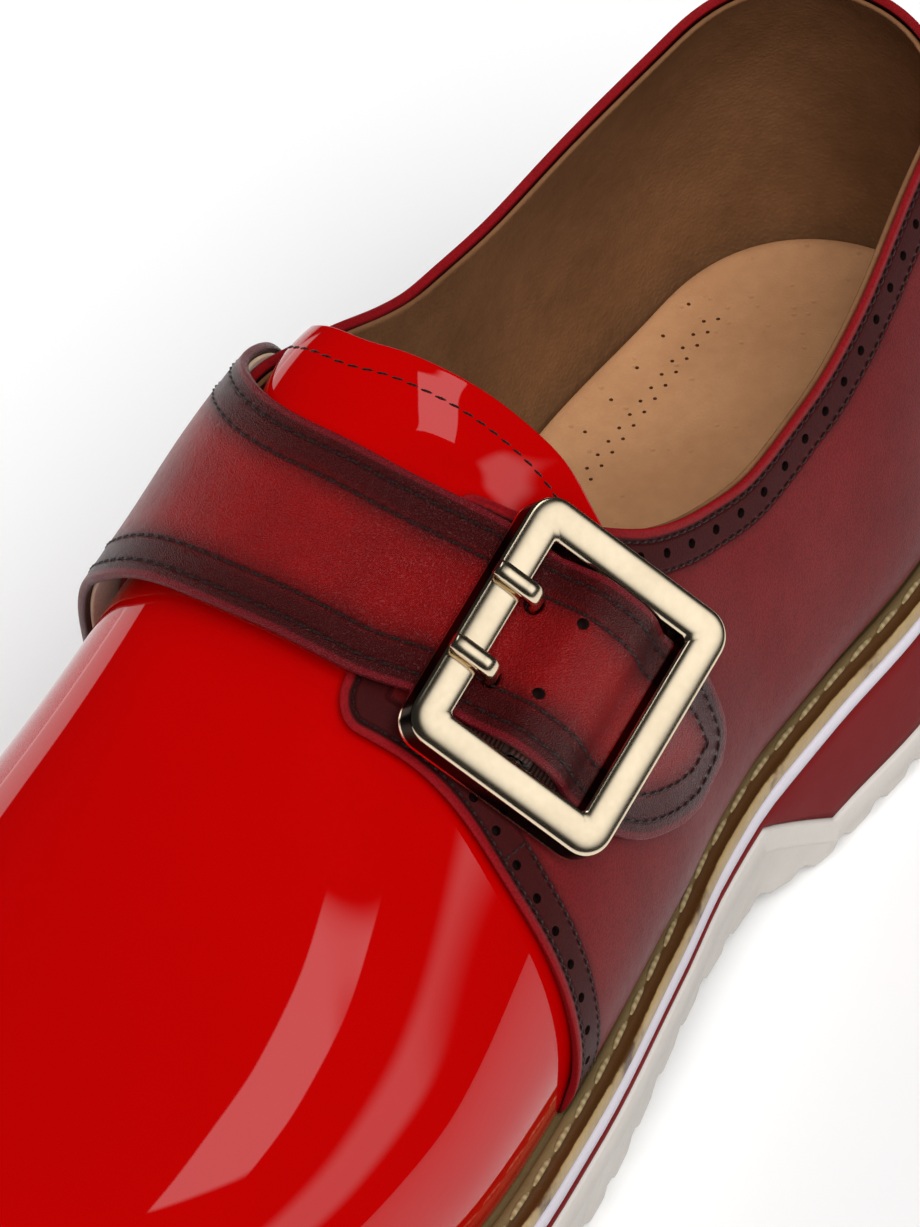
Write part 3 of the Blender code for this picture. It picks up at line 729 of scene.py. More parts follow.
    @staticmethod
    def crisp(piece: Piece, angle: float) -> None:
        """Shades edges sharper than an angle as hard edges."""
        with bpy.context.temp_override(object=piece, active_object=piece, selected_editable_objects=[piece]):
            bpy.ops.object.shade_smooth_by_angle(angle=angle)

    @staticmethod
    def done(piece: Piece, finishes: Sequence[Material], slot: str, *nodes: str) -> None:
        """Dresses a piece, hangs it on the shoe's body and reports it.

        Args:
            piece: Finished mesh object.
            finishes: Materials for its places.
            slot: Not used.
            nodes: CAD nodes that it stands for.
        """
        places = [f.material_index for f in piece.data.polygons]
        piece.data.materials.clear()
        for finish in finishes:
            piece.data.materials.append(finish)
        piece.data.polygons.foreach_set("material_index", places)
        piece.data.polygons.foreach_set("use_smooth", [True] * len(places))
        piece.data.update()
        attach(piece, "root")
        if nodes:
            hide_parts(*nodes)
        LOG.info("%s: %d faces", piece.name, len(places))


@dataclass(frozen=True)
class Line:
    """Line of points on a piece, with the piece's outward normals."""

    points: Array
    normals: Array

    @staticmethod
    def lay(surface: BVHTree, points: Array) -> "Line":
        """Line of points, in millimetres, moved to the nearest places of a surface."""
        return Line.met([surface.find_nearest(Vector(p)) for p in in_frame(points)])

    @staticmethod
    def met(hits: Sequence[tuple]) -> "Line":
        """Line through the places and normals that a search tree found."""
        spots = in_fit(np.array([tuple(hit[0]) for hit in hits]))
        return Line(spots, np.array([tuple(hit[1]) for hit in hits]))

    def tangents(self) -> Array:
        """Unit directions along the line."""
        return unit(np.gradient(self.points, axis=0))

    def eased(self, passes: int) -> "Line":
        """Line with its kinks smoothed; its ends stay.

        Args:
            passes: How often it is smoothed.

        Returns:
            The smoothed line.
        """
        points, normals = self.points.copy(), self.normals.copy()
        for _ in range(passes):
            for data in (points, normals):
                data[1:-1] = (data[:-2] + 2 * data[1:-1] + data[2:]) / 4
        return Line(points, unit(normals))

    def inset(self, surface: BVHTree, distance: float, sign: float) -> "Line":
        """Parallel line on the same surface, on the side that the sign gives."""
        away = unit(np.cross(self.normals, self.tangents())) * sign
        return Line.lay(surface, self.points + away * distance).eased(3)

    def spaced(self, pitch: float) -> "Line":
        """Points at an even pitch.

        Args:
            pitch: Distance between points, eased to fill the line.

        Returns:
            The evenly spaced line.
        """
        place = travelled(self.points)
        count = max(int(round(place[-1] / pitch)), 1)
        where = place[-1] * (np.arange(count) + 0.5) / count
        read = [np.interp(where, place, c) for c in (*self.points.T, *self.normals.T)]
        return Line(np.array(read[:3]).T, unit(np.array(read[3:]).T))

    def frames(self, lift: float = 0.0, slant: float = 0.0) -> Array:
        """Axes and places for copies along the line: x along it, z outwards.

        Args:
            lift: Height of the copies above the surface.
            slant: Sideways lean of the copies, as a tangent.

        Returns:
            Count by 3 by 4 matrices in metres.
        """
        along = self.tangents() if len(self.points) > 1 else np.array([[1.0, 0, 0]])
        out = unit(self.normals)
        across = unit(np.cross(out, along))
        across = unit(across - np.cross(across, out) * slant)
        along = np.cross(across, out)
        places = in_frame(self.points + out * lift)
        return np.stack((along, across, out, places), -1)


@dataclass(frozen=True)
class Thread:
    """Size of a sewn row's stitches."""

    pitch: float = 1.6
    length: float = 1.5
    radius: float = 0.17
    dive: float = 0.26
    slant: float = 0.12
    segments: int = 6

    def template(self) -> Piece:
        """One stitch: a drawn-out sphere whose ends dive into the leather.

        Returns:
            The stitch, around the origin.
        """
        Bench.clear()
        bpy.ops.mesh.primitive_uv_sphere_add(segments=self.segments, ring_count=self.segments, radius=1.0)
        piece = bpy.context.object
        for corner in piece.data.vertices:
            x, y, z = corner.co.z, corner.co.x, corner.co.y
            reach = math.copysign(abs(x) ** 0.8, x)
            wide = max(1 - x * x, 0.0) ** -0.18 if abs(x) < 0.999 else 1.0
            across, out = y * self.radius * wide, z * self.radius * wide - self.dive * reach**2
            corner.co = Vector((reach * self.length / 2, across, out)) * MM
        return piece

    def sew(self, name: str, rows: Sequence[Line], finish: Material, slot: str) -> None:
        """Sews rows of stitches as one piece.

        Args:
            name: Piece's name.
            rows: Lines to sew along.
            finish: Thread's material.
            slot: Record's slot.
        """
        spaced = [row.spaced(self.pitch) for row in rows]
        frames = join([row.frames(self.radius * 0.45, self.slant) for row in spaced])
        Bench.done(Bench.copies(name, self.template(), frames), [finish], slot)


def tree_of(piece: Piece) -> BVHTree:
    """Search tree of a finished piece."""
    return BVHTree.FromObject(piece, bpy.context.evaluated_depsgraph_get())


# ---- shader work
def srgb(red: int, green: int, blue: int) -> tuple[float, float, float, float]:
    """Screen colour as the linear colour that shaders use.

    Args:
        red: 0 to 255.
        green: 0 to 255.
        blue: 0 to 255.

    Returns:
        Linear colour with an opacity of 1.
    """
    scaled = [c / 255 for c in (red, green, blue)]
    linear = [c / 12.92 if c <= 0.04045 else ((c + 0.055) / 1.055) ** 2.4 for c in scaled]
    return (*linear, 1.0)


class Nodes:
    """Short-hand for adding and joining shader nodes in one tree."""

    def __init__(self, tree: bpy.types.NodeTree) -> None:
        """Keeps the tree that nodes are added to."""
        self.tree = tree

    def add(self, kind: str, settings: dict | None = None, **inputs: object) -> bpy.types.Node:
        """Adds a node.

        Args:
            kind: Node type without its ShaderNode prefix.
            settings: Properties of the node.
            inputs: Values or sockets for its inputs; underscores stand for spaces.

        Returns:
            The node.
        """
        node = self.tree.nodes.new("ShaderNode" + kind)
        for key, value in (settings or {}).items():
            setattr(node, key, value)
        for key, value in inputs.items():
            self.feed(node.inputs[key.replace("_", " ")], value)
        return node

    def feed(self, socket: Socket, value: object) -> None:
        """Links a socket or sets its value.

        Args:
            socket: Input to feed.
            value: Socket to link or value to set.
        """
        if isinstance(value, Socket):
            self.tree.links.new(value, socket)
        else:
            socket.default_value = value

    def math(self, operation: str, *values: object, clamp: bool = False) -> Socket:
        """Adds a Math node and returns its result.

        Args:
            operation: What it does.
            values: Values or sockets.
            clamp: Whether it holds to 0 and 1.

        Returns:
            The result.
        """
        node = self.add("Math", {"operation": operation, "use_clamp": clamp})
        for socket, value in zip(node.inputs, values):
            self.feed(socket, value)
        return node.outputs[0]

    def times(self, first: object, second: object) -> Socket:
        """Product of two values."""
        return self.math("MULTIPLY", first, second)

    def times_plus(self, first: object, second: object, more: object) -> Socket:
        """Product of two values, and a third added to it."""
        return self.math("MULTIPLY_ADD", first, second, more)

    def mix(self, factor: object, first: object, second: object) -> Socket:
        """Mixes two colours.

        Args:
            factor: Share of the second colour.
            first: Colour or socket.
            second: Colour or socket.

        Returns:
            The mixed colour.
        """
        node = self.add("Mix", {"data_type": "RGBA"})
        for i, value in ((0, factor), (6, first), (7, second)):
            self.feed(node.inputs[i], value)
        return node.outputs[2]

    def ramp(self, value: Socket, low: object, high: object, start: float = 0.0, end: float = 1.0) -> Socket:
        """Smooth step of a value from low to high.

        Args:
            value: Value to map.
            low: Where the step starts.
            high: Where it ends.
            start: Result at low.
            end: Result at high.

        Returns:
            The mapped value.
        """
        node = self.add("MapRange", {"interpolation_type": "SMOOTHSTEP"})
        for i, item in enumerate((value, low, high, start, end)):
            self.feed(node.inputs[i], item)
        return node.outputs[0]

    def noise(self, place: Socket, scale: object, detail: float = 2.0) -> Socket:
        """Noise value at a place."""
        return self.add("TexNoise", Vector=place, Scale=scale, Detail=detail).outputs[0]

    def place(self) -> Socket:
        """Object coordinates."""
        return self.add("TexCoord").outputs["Object"]

    def stored(self, name: str) -> Socket:
        """Number stored on the vertices."""
        return self.add("Attribute", {"attribute_name": name}).outputs["Fac"]


class Effect(Enum):
    """Shared shader groups."""

    GRAIN = "leather_grain"
    EDGE = "edge_burnish"
    ROW = "stitch_row"
    MOTTLE = "mottle"
    SPECKLE = "speckle"


class EffectShelf:
    """Builds each shared shader group once and places copies of it."""

    def __init__(self) -> None:
        """Starts with no group built."""
        self.groups: dict[Effect, bpy.types.NodeTree] = {}

    def _start(self, effect: Effect, inputs: dict[str, object], outputs: str) -> tuple[Nodes, dict, object]:
        """New group with its sockets.

        Args:
            effect: Which group.
            inputs: Names and standing values; None is a vector.
            outputs: Names parted by spaces.

        Returns:
            Node helper, input sockets by name and the output node.
        """
        tree = bpy.data.node_groups.new(effect.value, "ShaderNodeTree")
        for name, value in inputs.items():
            kind = "NodeSocketVector" if value is None else "NodeSocketFloat"
            socket = tree.interface.new_socket(name=name, in_out="INPUT", socket_type=kind)
            if value is not None:
                socket.default_value = value
        for name in outputs.split():
            tree.interface.new_socket(name=name, in_out="OUTPUT", socket_type="NodeSocketFloat")
        self.groups[effect] = tree
        nodes = Nodes(tree)
        entry = tree.nodes.new("NodeGroupInput").outputs
        return nodes, {s.name: s for s in entry if s.name}, tree.nodes.new("NodeGroupOutput")

    def _grain(self) -> None:
        """Pebbled leather: small rounded bumps over broader swells, and a mask of the creases that materials
        paint shade into.
        """
        n, i, out = self._start(Effect.GRAIN, {"Place": None, "Scale": 2800.0}, "Height Crease")
        broad_scale = n.times(i["Scale"], 0.3)
        wobble = n.add("TexNoise", None, Vector=i["Place"], Scale=broad_scale, Detail=1.0)
        shift = n.add("VectorMath", {"operation": "SCALE"}, Scale=0.0003)
        n.feed(shift.inputs[0], wobble.outputs["Color"])
        moved = n.add("VectorMath", {"operation": "ADD"})
        n.feed(moved.inputs[0], i["Place"])
        n.feed(moved.inputs[1], shift.outputs[0])
        settings = {"feature": "SMOOTH_F1"}
        cells = n.add("TexVoronoi", settings, Vector=moved.outputs[0], Scale=i["Scale"], Smoothness=0.35)
        domes = n.ramp(cells.outputs["Distance"], 0.05, 0.75, 1.0, 0.0)
        broad = n.noise(i["Place"], n.times(i["Scale"], 0.12), 3.0)
        n.feed(out.inputs["Height"], n.times_plus(broad, 1.4, domes))
        n.feed(out.inputs["Crease"], n.ramp(cells.outputs["Distance"], 0.35, 0.75))

    def _edge(self) -> None:
        """Mask that is 1 at a piece's edge and fades inwards, broken by noise."""
        inputs = {"Place": None, "Edge": 0.0, "Start": 0.0, "End": 5.0, "Break": 0.5}
        n, i, out = self._start(Effect.EDGE, inputs, "Mask")
        uneven = n.times(n.math("SUBTRACT", n.noise(i["Place"], 150.0, 4.0), 0.5), i["Break"])
        n.feed(out.inputs["Mask"], n.ramp(n.math("ADD", i["Edge"], uneven), i["Start"], i["End"], 1.0, 0.0))

    def _row(self) -> None:
        """Groove that a stitched row pulls into leather at a distance from the edge."""
        n, i, out = self._start(Effect.ROW, {"Edge": 0.0, "Row": 2.0, "Width": 0.7}, "Groove")
        away = n.math("ABSOLUTE", n.math("SUBTRACT", i["Edge"], i["Row"]))
        n.feed(out.inputs["Groove"], n.ramp(n.math("DIVIDE", away, i["Width"]), 0.0, 1.0, 1.0, 0.0))

    def _mottle(self) -> None:
        """Cloudy mask for uneven dye."""
        n, i, out = self._start(Effect.MOTTLE, {"Place": None, "Scale": 40.0, "Contrast": 1.0}, "Mask")
        broad = n.noise(i["Place"], i["Scale"], 3.0)
        fine = n.noise(i["Place"], n.times(i["Scale"], 7.0), 3.0)
        both = n.times_plus(fine, 0.35, n.times(broad, 0.65))
        far = n.times(n.math("SUBTRACT", both, 0.5), n.times(i["Contrast"], 3.0))
        n.feed(out.inputs["Mask"], n.math("ADD", far, 0.5, clamp=True))

    def _speckle(self) -> None:
        """Fine dust and pits: sparse small dots."""
        n, i, out = self._start(Effect.SPECKLE, {"Place": None, "Scale": 900.0, "Share": 0.3}, "Mask")
        dots = n.add("TexVoronoi", None, Vector=i["Place"], Scale=i["Scale"])
        lot = n.add("SeparateColor", None, Color=dots.outputs["Color"]).outputs[0]
        chosen = n.math("LESS_THAN", lot, i["Share"])
        spot = n.ramp(dots.outputs["Distance"], 0.1, 0.42, 1.0, 0.0)
        n.feed(out.inputs["Mask"], n.times(spot, chosen))

    def use(self, nodes: Nodes, effect: Effect, **inputs: object) -> bpy.types.NodeOutputs:
        """Places a group in a material.

        Args:
            nodes: Material's node helper.
            effect: Which group.
            inputs: Values or sockets for it.

        Returns:
            What the group puts out.
        """
        if effect not in self.groups:
            getattr(self, "_" + effect.name.lower())()
        node = nodes.tree.nodes.new("ShaderNodeGroup")
        node.node_tree = self.groups[effect]
        for key, value in inputs.items():
            nodes.feed(node.inputs[key], value)
        return node.outputs


SHELF = EffectShelf()


@dataclass(frozen=True)
class Finish:
    """Common part of a finish: its name and the shader's standing values."""

    name: str
    roughness: float = 0.5

    def _start(self, **values: object) -> tuple[Material, Nodes]:
        """New material with its Principled shader.

        Args:
            values: Standing values of the shader's sockets; underscores stand for spaces.

        Returns:
            The material and its node helper.
        """
        made = bpy.data.materials.new(self.name)
        made.use_nodes = True
        shader = made.node_tree.nodes["Principled BSDF"]
        shader.inputs["Roughness"].default_value = self.roughness
        for key, value in values.items():
            shader.inputs[key.replace("_", " ")].default_value = value
        return made, Nodes(made.node_tree)

    @staticmethod
    def _end(made: Material, color: Socket, rough: Socket, height: Socket, depth: float) -> Material:
        """Feeds colour, roughness and relief to the shader.

        Args:
            made: Material.
            color: Its colour.
            rough: Its roughness.
            height: Height of its relief, about 0 to 1.
            depth: Depth in millimetres of a height of 1.

        Returns:
            The material.
        """
        nodes = Nodes(made.node_tree)
        relief = nodes.add("Bump", None, Height=height, Strength=1.0, Distance=depth * MM)
        inputs = made.node_tree.nodes["Principled BSDF"].inputs
        for name, socket in (("Base Color", color), ("Roughness", rough), ("Normal", relief.outputs[0])):
            nodes.feed(inputs[name], socket)
        return made


@dataclass(frozen=True)
class Patent(Finish):
    """Patent leather: dyed hide under a thick clear gloss."""

    color: tuple = srgb(174, 0, 0)
    deep: tuple = srgb(162, 0, 0)

    def build(self) -> Material:
        """Makes the material.

        Returns:
            The material.
        """
        made, n = self._start(Coat_Weight=1.0, Coat_Roughness=0.02, Specular_IOR_Level=0.0)
        place = n.place()
        cloud = SHELF.use(n, Effect.MOTTLE, Place=place, Scale=25.0, Contrast=0.7)[0]
        color = n.mix(n.times(cloud, 0.3), self.color, self.deep)
        dust = SHELF.use(n, Effect.SPECKLE, Place=place, Scale=420.0, Share=0.04)[0]
        rough = n.times_plus(dust, 0.2, self.roughness)
        return self._end(made, color, rough, n.noise(place, 260.0, 1.5), 0.012)


@dataclass(frozen=True)
class Burnished(Finish):
    """Dyed leather, darker and greyer along its edges, with painted shade in its grain's creases and in the
    grooves of its stitched rows.
    """

    middle: tuple = srgb(112, 24, 26)
    deep: tuple = srgb(92, 12, 15)
    band: tuple = srgb(42, 14, 14)
    fold: tuple = srgb(128, 16, 22)
    grain_scale: float = 3200.0
    grain_depth: float = 0.016
    band_start: float = 5.4
    band_end: float = 8.4
    fold_end: float = 1.6
    rows: tuple[float, ...] = (2.0, 6.4)
    coat: float = 0.0
    shine: float = 0.11

    def build(self) -> Material:
        """Makes the material.

        Returns:
            The material.
        """
        coat = {"Coat_Weight": self.coat, "Coat_Roughness": 0.3}
        made, n = self._start(Specular_IOR_Level=self.shine, **coat)
        place, edge = n.place(), n.stored("edge")
        cloud = SHELF.use(n, Effect.MOTTLE, Place=place, Scale=22.0, Contrast=1.0)[0]
        color = n.mix(cloud, self.middle, self.deep)
        ends = {"Start": self.band_start, "End": self.band_end, "Break": 2.4}
        band = SHELF.use(n, Effect.EDGE, Place=place, Edge=edge, **ends)[0]
        ends = {"Start": self.fold_end - 0.5, "End": self.fold_end, "Break": 0.3}
        fold = SHELF.use(n, Effect.EDGE, Place=place, Edge=edge, **ends)[0]
        color = n.mix(fold, n.mix(n.times(band, 0.85), color, self.band), self.fold)
        grain = SHELF.use(n, Effect.GRAIN, Place=place, Scale=self.grain_scale)
        # Painted shade: the grain's creases are darkened towards near-black.
        color = n.mix(n.times(grain["Crease"], 0.3), color, (0.02, 0.004, 0.004, 1.0))
        height = n.times(grain["Height"], self.grain_depth)
        # Each stitched row sinks a groove into the relief, and painted shade darkens the groove's colour.
        for row in self.rows:
            groove = SHELF.use(n, Effect.ROW, Edge=edge, Row=row, Width=0.6)[0]
            height = n.times_plus(groove, -0.16, height)
            color = n.mix(n.times(groove, 0.75), color, srgb(34, 7, 8))
        uneven = n.times_plus(n.noise(place, 700.0, 3.0), 0.16, self.roughness - 0.08)
        return self._end(made, color, n.times_plus(band, 0.05, uneven), height, 1.0)


@dataclass(frozen=True)
class Hide(Finish):
    """Plain leather or felt of one dye, with painted shade in its grain's creases and pits: lining, footbed,
    raw edges, and the painted shade inside cut holes.
    """

    color: tuple = srgb(120, 84, 54)
    shade: tuple = srgb(88, 58, 36)
    scale: float = 1500.0
    depth: float = 0.05
    pits: float = 0.0
    sheen: float = 0.0

    def build(self) -> Material:
        """Makes the material.

        Returns:
            The material.
        """
        made, n = self._start(Sheen_Weight=self.sheen)
        place = n.place()
        cloud = SHELF.use(n, Effect.MOTTLE, Place=place, Scale=60.0, Contrast=0.9)[0]
        color = n.mix(cloud, self.color, self.shade)
        grain = SHELF.use(n, Effect.GRAIN, Place=place, Scale=self.scale)
        height = n.times(grain["Height"], self.depth)
        # Painted shade: the grain's creases are darkened towards the shade colour.
        color = n.mix(n.times(grain["Crease"], 0.18), color, self.shade)
        # Painted shade: the pits are darkened as well as sunk.
        if self.pits:
            pit = SHELF.use(n, Effect.SPECKLE, Place=place, Scale=820.0, Share=self.pits)[0]
            color = n.mix(n.times(pit, 0.5), color, self.shade)
            height = n.times_plus(pit, -0.1, height)
        rough = n.times_plus(cloud, 0.12, self.roughness - 0.06)
        return self._end(made, color, rough, height, 1.0)


@dataclass(frozen=True)
class Yarn(Finish):
    """Twisted thread; the twist follows the stitch's length, and its strands are painted lighter and darker
    as light and shade.
    """

    color: tuple = srgb(16, 6, 6)
    light: tuple = srgb(40, 19, 16)
    turns: float = 1.6

    def build(self) -> Material:
        """Makes the material.

        Returns:
            The material.
        """
        made, n = self._start(Sheen_Weight=0.05)
        place = n.place()
        fuzz = n.noise(place, 2600.0, 2.0)
        twist = self.turns * 2 * math.pi
        phase = n.times_plus(n.stored("along"), twist, n.times(fuzz, 2.5))
        wave = n.times_plus(n.math("SINE", phase), 0.5, 0.5)
        # Painted highlight and shade: the colour swings between dark and light with the twist's phase.
        color = n.mix(wave, self.color, self.light)
        rough = n.times_plus(fuzz, 0.2, self.roughness - 0.1)
        return self._end(made, color, rough, n.times_plus(fuzz, 0.5, wave), 0.05)


@dataclass(frozen=True)
class Moulded(Finish):
    """Foam or rubber with faint speckle and handling marks."""

    color: tuple = srgb(205, 199, 192)
    shade: tuple = srgb(190, 183, 177)
    scale: float = 1300.0

    def build(self) -> Material:
        """Makes the material.

        Returns:
            The material.
        """
        made, n = self._start(Specular_IOR_Level=0.05)
        place = n.place()
        cloud = SHELF.use(n, Effect.MOTTLE, Place=place, Scale=35.0, Contrast=0.8)[0]
        dots = SHELF.use(n, Effect.SPECKLE, Place=place, Scale=self.scale, Share=0.35)[0]
        color = n.mix(n.times(cloud, 0.5), self.color, self.shade)
        color = n.mix(n.times(dots, 0.3), color, self.shade)
        rough = n.times_plus(cloud, 0.14, self.roughness - 0.07)
        fine = n.noise(place, 1800.0, 3.0)
        return self._end(made, color, rough, n.times_plus(dots, -0.5, fine), 0.03)


@dataclass(frozen=True)
class WeltLeather(Finish):
    """Welt whose colour changes from the inner bead to the rim, with painted shade in its channel and a
    painted highlight on its rim.
    """

    bead: tuple = srgb(112, 94, 62)
    channel: tuple = srgb(74, 46, 20)
    rim: tuple = srgb(170, 144, 100)

    def build(self) -> Material:
        """Makes the material.

        Returns:
            The material.
        """
        made, n = self._start(Coat_Weight=0.1, Coat_Roughness=0.35)
        place, across = n.place(), n.stored("across")
        smear = n.times_plus(n.noise(place, 500.0, 3.0), 0.5, n.math("SUBTRACT", across, 0.25))
        # Colour by distance from the edge: a pale rim as a painted highlight on its rounding, a dark channel
        # as painted shade in the hollow, and the olive bead inside.
        color = n.mix(n.ramp(smear, 0.35, 0.6), self.rim, self.channel)
        color = n.mix(n.ramp(smear, 2.2, 2.5), color, self.bead)
        cloud = SHELF.use(n, Effect.MOTTLE, Place=place, Scale=120.0, Contrast=0.8)[0]
        color = n.mix(n.times(cloud, 0.3), color, self.channel)
        grain = SHELF.use(n, Effect.GRAIN, Place=place, Scale=2200.0)
        rough = n.times_plus(cloud, 0.15, self.roughness - 0.07)
        return self._end(made, color, rough, grain["Height"], 0.025)


@dataclass(frozen=True)
class Plated(Finish):
    """Pale gold plate, softly satin with faint wear."""

    color: tuple = srgb(236, 219, 190)
    worn: tuple = srgb(226, 206, 174)

    def build(self) -> Material:
        """Makes the material.

        Returns:
            The material.
        """
        made, n = self._start(Metallic=1.0)
        place = n.place()
        cloud = SHELF.use(n, Effect.MOTTLE, Place=place, Scale=130.0, Contrast=0.8)[0]
        color = n.mix(n.times(cloud, 0.5), self.color, self.worn)
        rough = n.times_plus(cloud, 0.05, self.roughness - 0.02)
        return self._end(made, color, rough, n.noise(place, 700.0, 2.0), 0.002)


@dataclass(frozen=True)
class Webbing(Finish):
    """Ribbed elastic; the ribs follow a stored number, with painted highlights on their crests and painted
    shade between them.
    """

    color: tuple = srgb(34, 17, 15)
    light: tuple = srgb(118, 74, 62)
    pitch: float = 0.7

    def build(self) -> Material:
        """Makes the material.

        Returns:
            The material.
        """
        made, n = self._start(Sheen_Weight=0.1)
        place = n.place()
        rib = n.math("SINE", n.times(n.stored("along"), 2 * math.pi / self.pitch))
        rib = n.times_plus(rib, 0.5, 0.5)
        fuzz = n.noise(place, 2500.0, 3.0)
        # Painted highlight and shade: rib crests are coloured light and the hollows dark.
        color = n.mix(n.times(rib, fuzz), self.color, self.light)
        rough = n.times_plus(fuzz, 0.1, self.roughness)
        return self._end(made, color, rough, n.times_plus(fuzz, 0.6, rib), 0.15)


@dataclass(frozen=True)
class Paper(Finish):
    """Pale studio floor with the faintest unevenness."""

    color: tuple = srgb(250, 250, 250)

    def build(self) -> Material:
        """Makes the material.

        Returns:
            The material.
        """
        made, n = self._start()
        soft = n.noise(n.place(), 3.0, 2.0)
        shade = n.mix(n.times(soft, 0.04), self.color, srgb(225, 225, 225))
        n.feed(made.node_tree.nodes["Principled BSDF"].inputs["Base Color"], shade)
        return made


def made_by(finish: Finish) -> Material:
    """Field that holds a finish's material, made with the wardrobe."""
    return field(default_factory=finish.build)


@dataclass(frozen=True)
class Wardrobe:
    """All finishes of the shoe, built once."""

    patent: Material = made_by(Patent("patent_red", 0.32))
    quarter: Material = made_by(Burnished("quarter_leather", 0.42))
    strap: Material = made_by(
        Burnished(
            "strap_leather",
            0.31,
            middle=srgb(150, 13, 14),
            deep=srgb(120, 11, 14),
            band=srgb(34, 8, 9),
            fold=srgb(108, 18, 26),
            grain_scale=4800.0,
            grain_depth=0.18,
            band_start=4.5,
            band_end=10.0,
            fold_end=1.3,
            rows=(2.5, 6.2),
            coat=0.03,
            shine=0.4,
        )
    )
    lining: Material = made_by(Hide("lining_leather", 0.6, srgb(128, 88, 58), srgb(104, 70, 44)))
    felt: Material = made_by(Hide("strap_backing", 0.85, srgb(222, 194, 156), srgb(190, 160, 124), sheen=0.3))
    raw: Material = made_by(Hide("cut_edge", 0.8, srgb(196, 160, 118), srgb(150, 100, 70), 2600.0))
    footbed: Material = made_by(
        Hide("footbed_leather", 0.62, srgb(196, 146, 104), srgb(174, 126, 88), 2300.0, 0.02, pits=0.12)
    )
    # Painted shade inside the punched and pricked holes: their walls and floors are coloured dark.
    punched: Material = made_by(Hide("punched_hole_painted_shade", 0.8, srgb(24, 12, 10), srgb(14, 7, 6)))
    pricked_shade: Material = made_by(Hide("pricked_hole_painted_shade", 0.8, srgb(104, 62, 34), srgb(84, 48, 26)))
    thread: Material = made_by(Yarn("dark_thread", 0.6))
    welt_thread: Material = made_by(Yarn("welt_thread", 0.65, srgb(132, 112, 78), srgb(166, 148, 108), 0.7))
    welt: Material = made_by(WeltLeather("welt_leather", 0.5))
    stripe: Material = made_by(Moulded("stripe_foam", 0.5, srgb(212, 206, 214), srgb(196, 190, 198)))
    midsole: Material = made_by(Moulded("midsole_foam", 0.55, srgb(112, 26, 28), srgb(100, 20, 22)))
    outsole: Material = made_by(Moulded("outsole_rubber", 0.5))
    gold: Material = made_by(Plated("pale_gold", 0.17))
    # Dark plate for the frame's side walls: a painted reflection of the shaded leather beside them.
    dark_gold: Material = made_by(Plated("gold_side_painted_reflection", 0.2, srgb(58, 48, 42), srgb(40, 30, 26)))
    elastic: Material = made_by(Webbing("ribbed_elastic", 0.85))


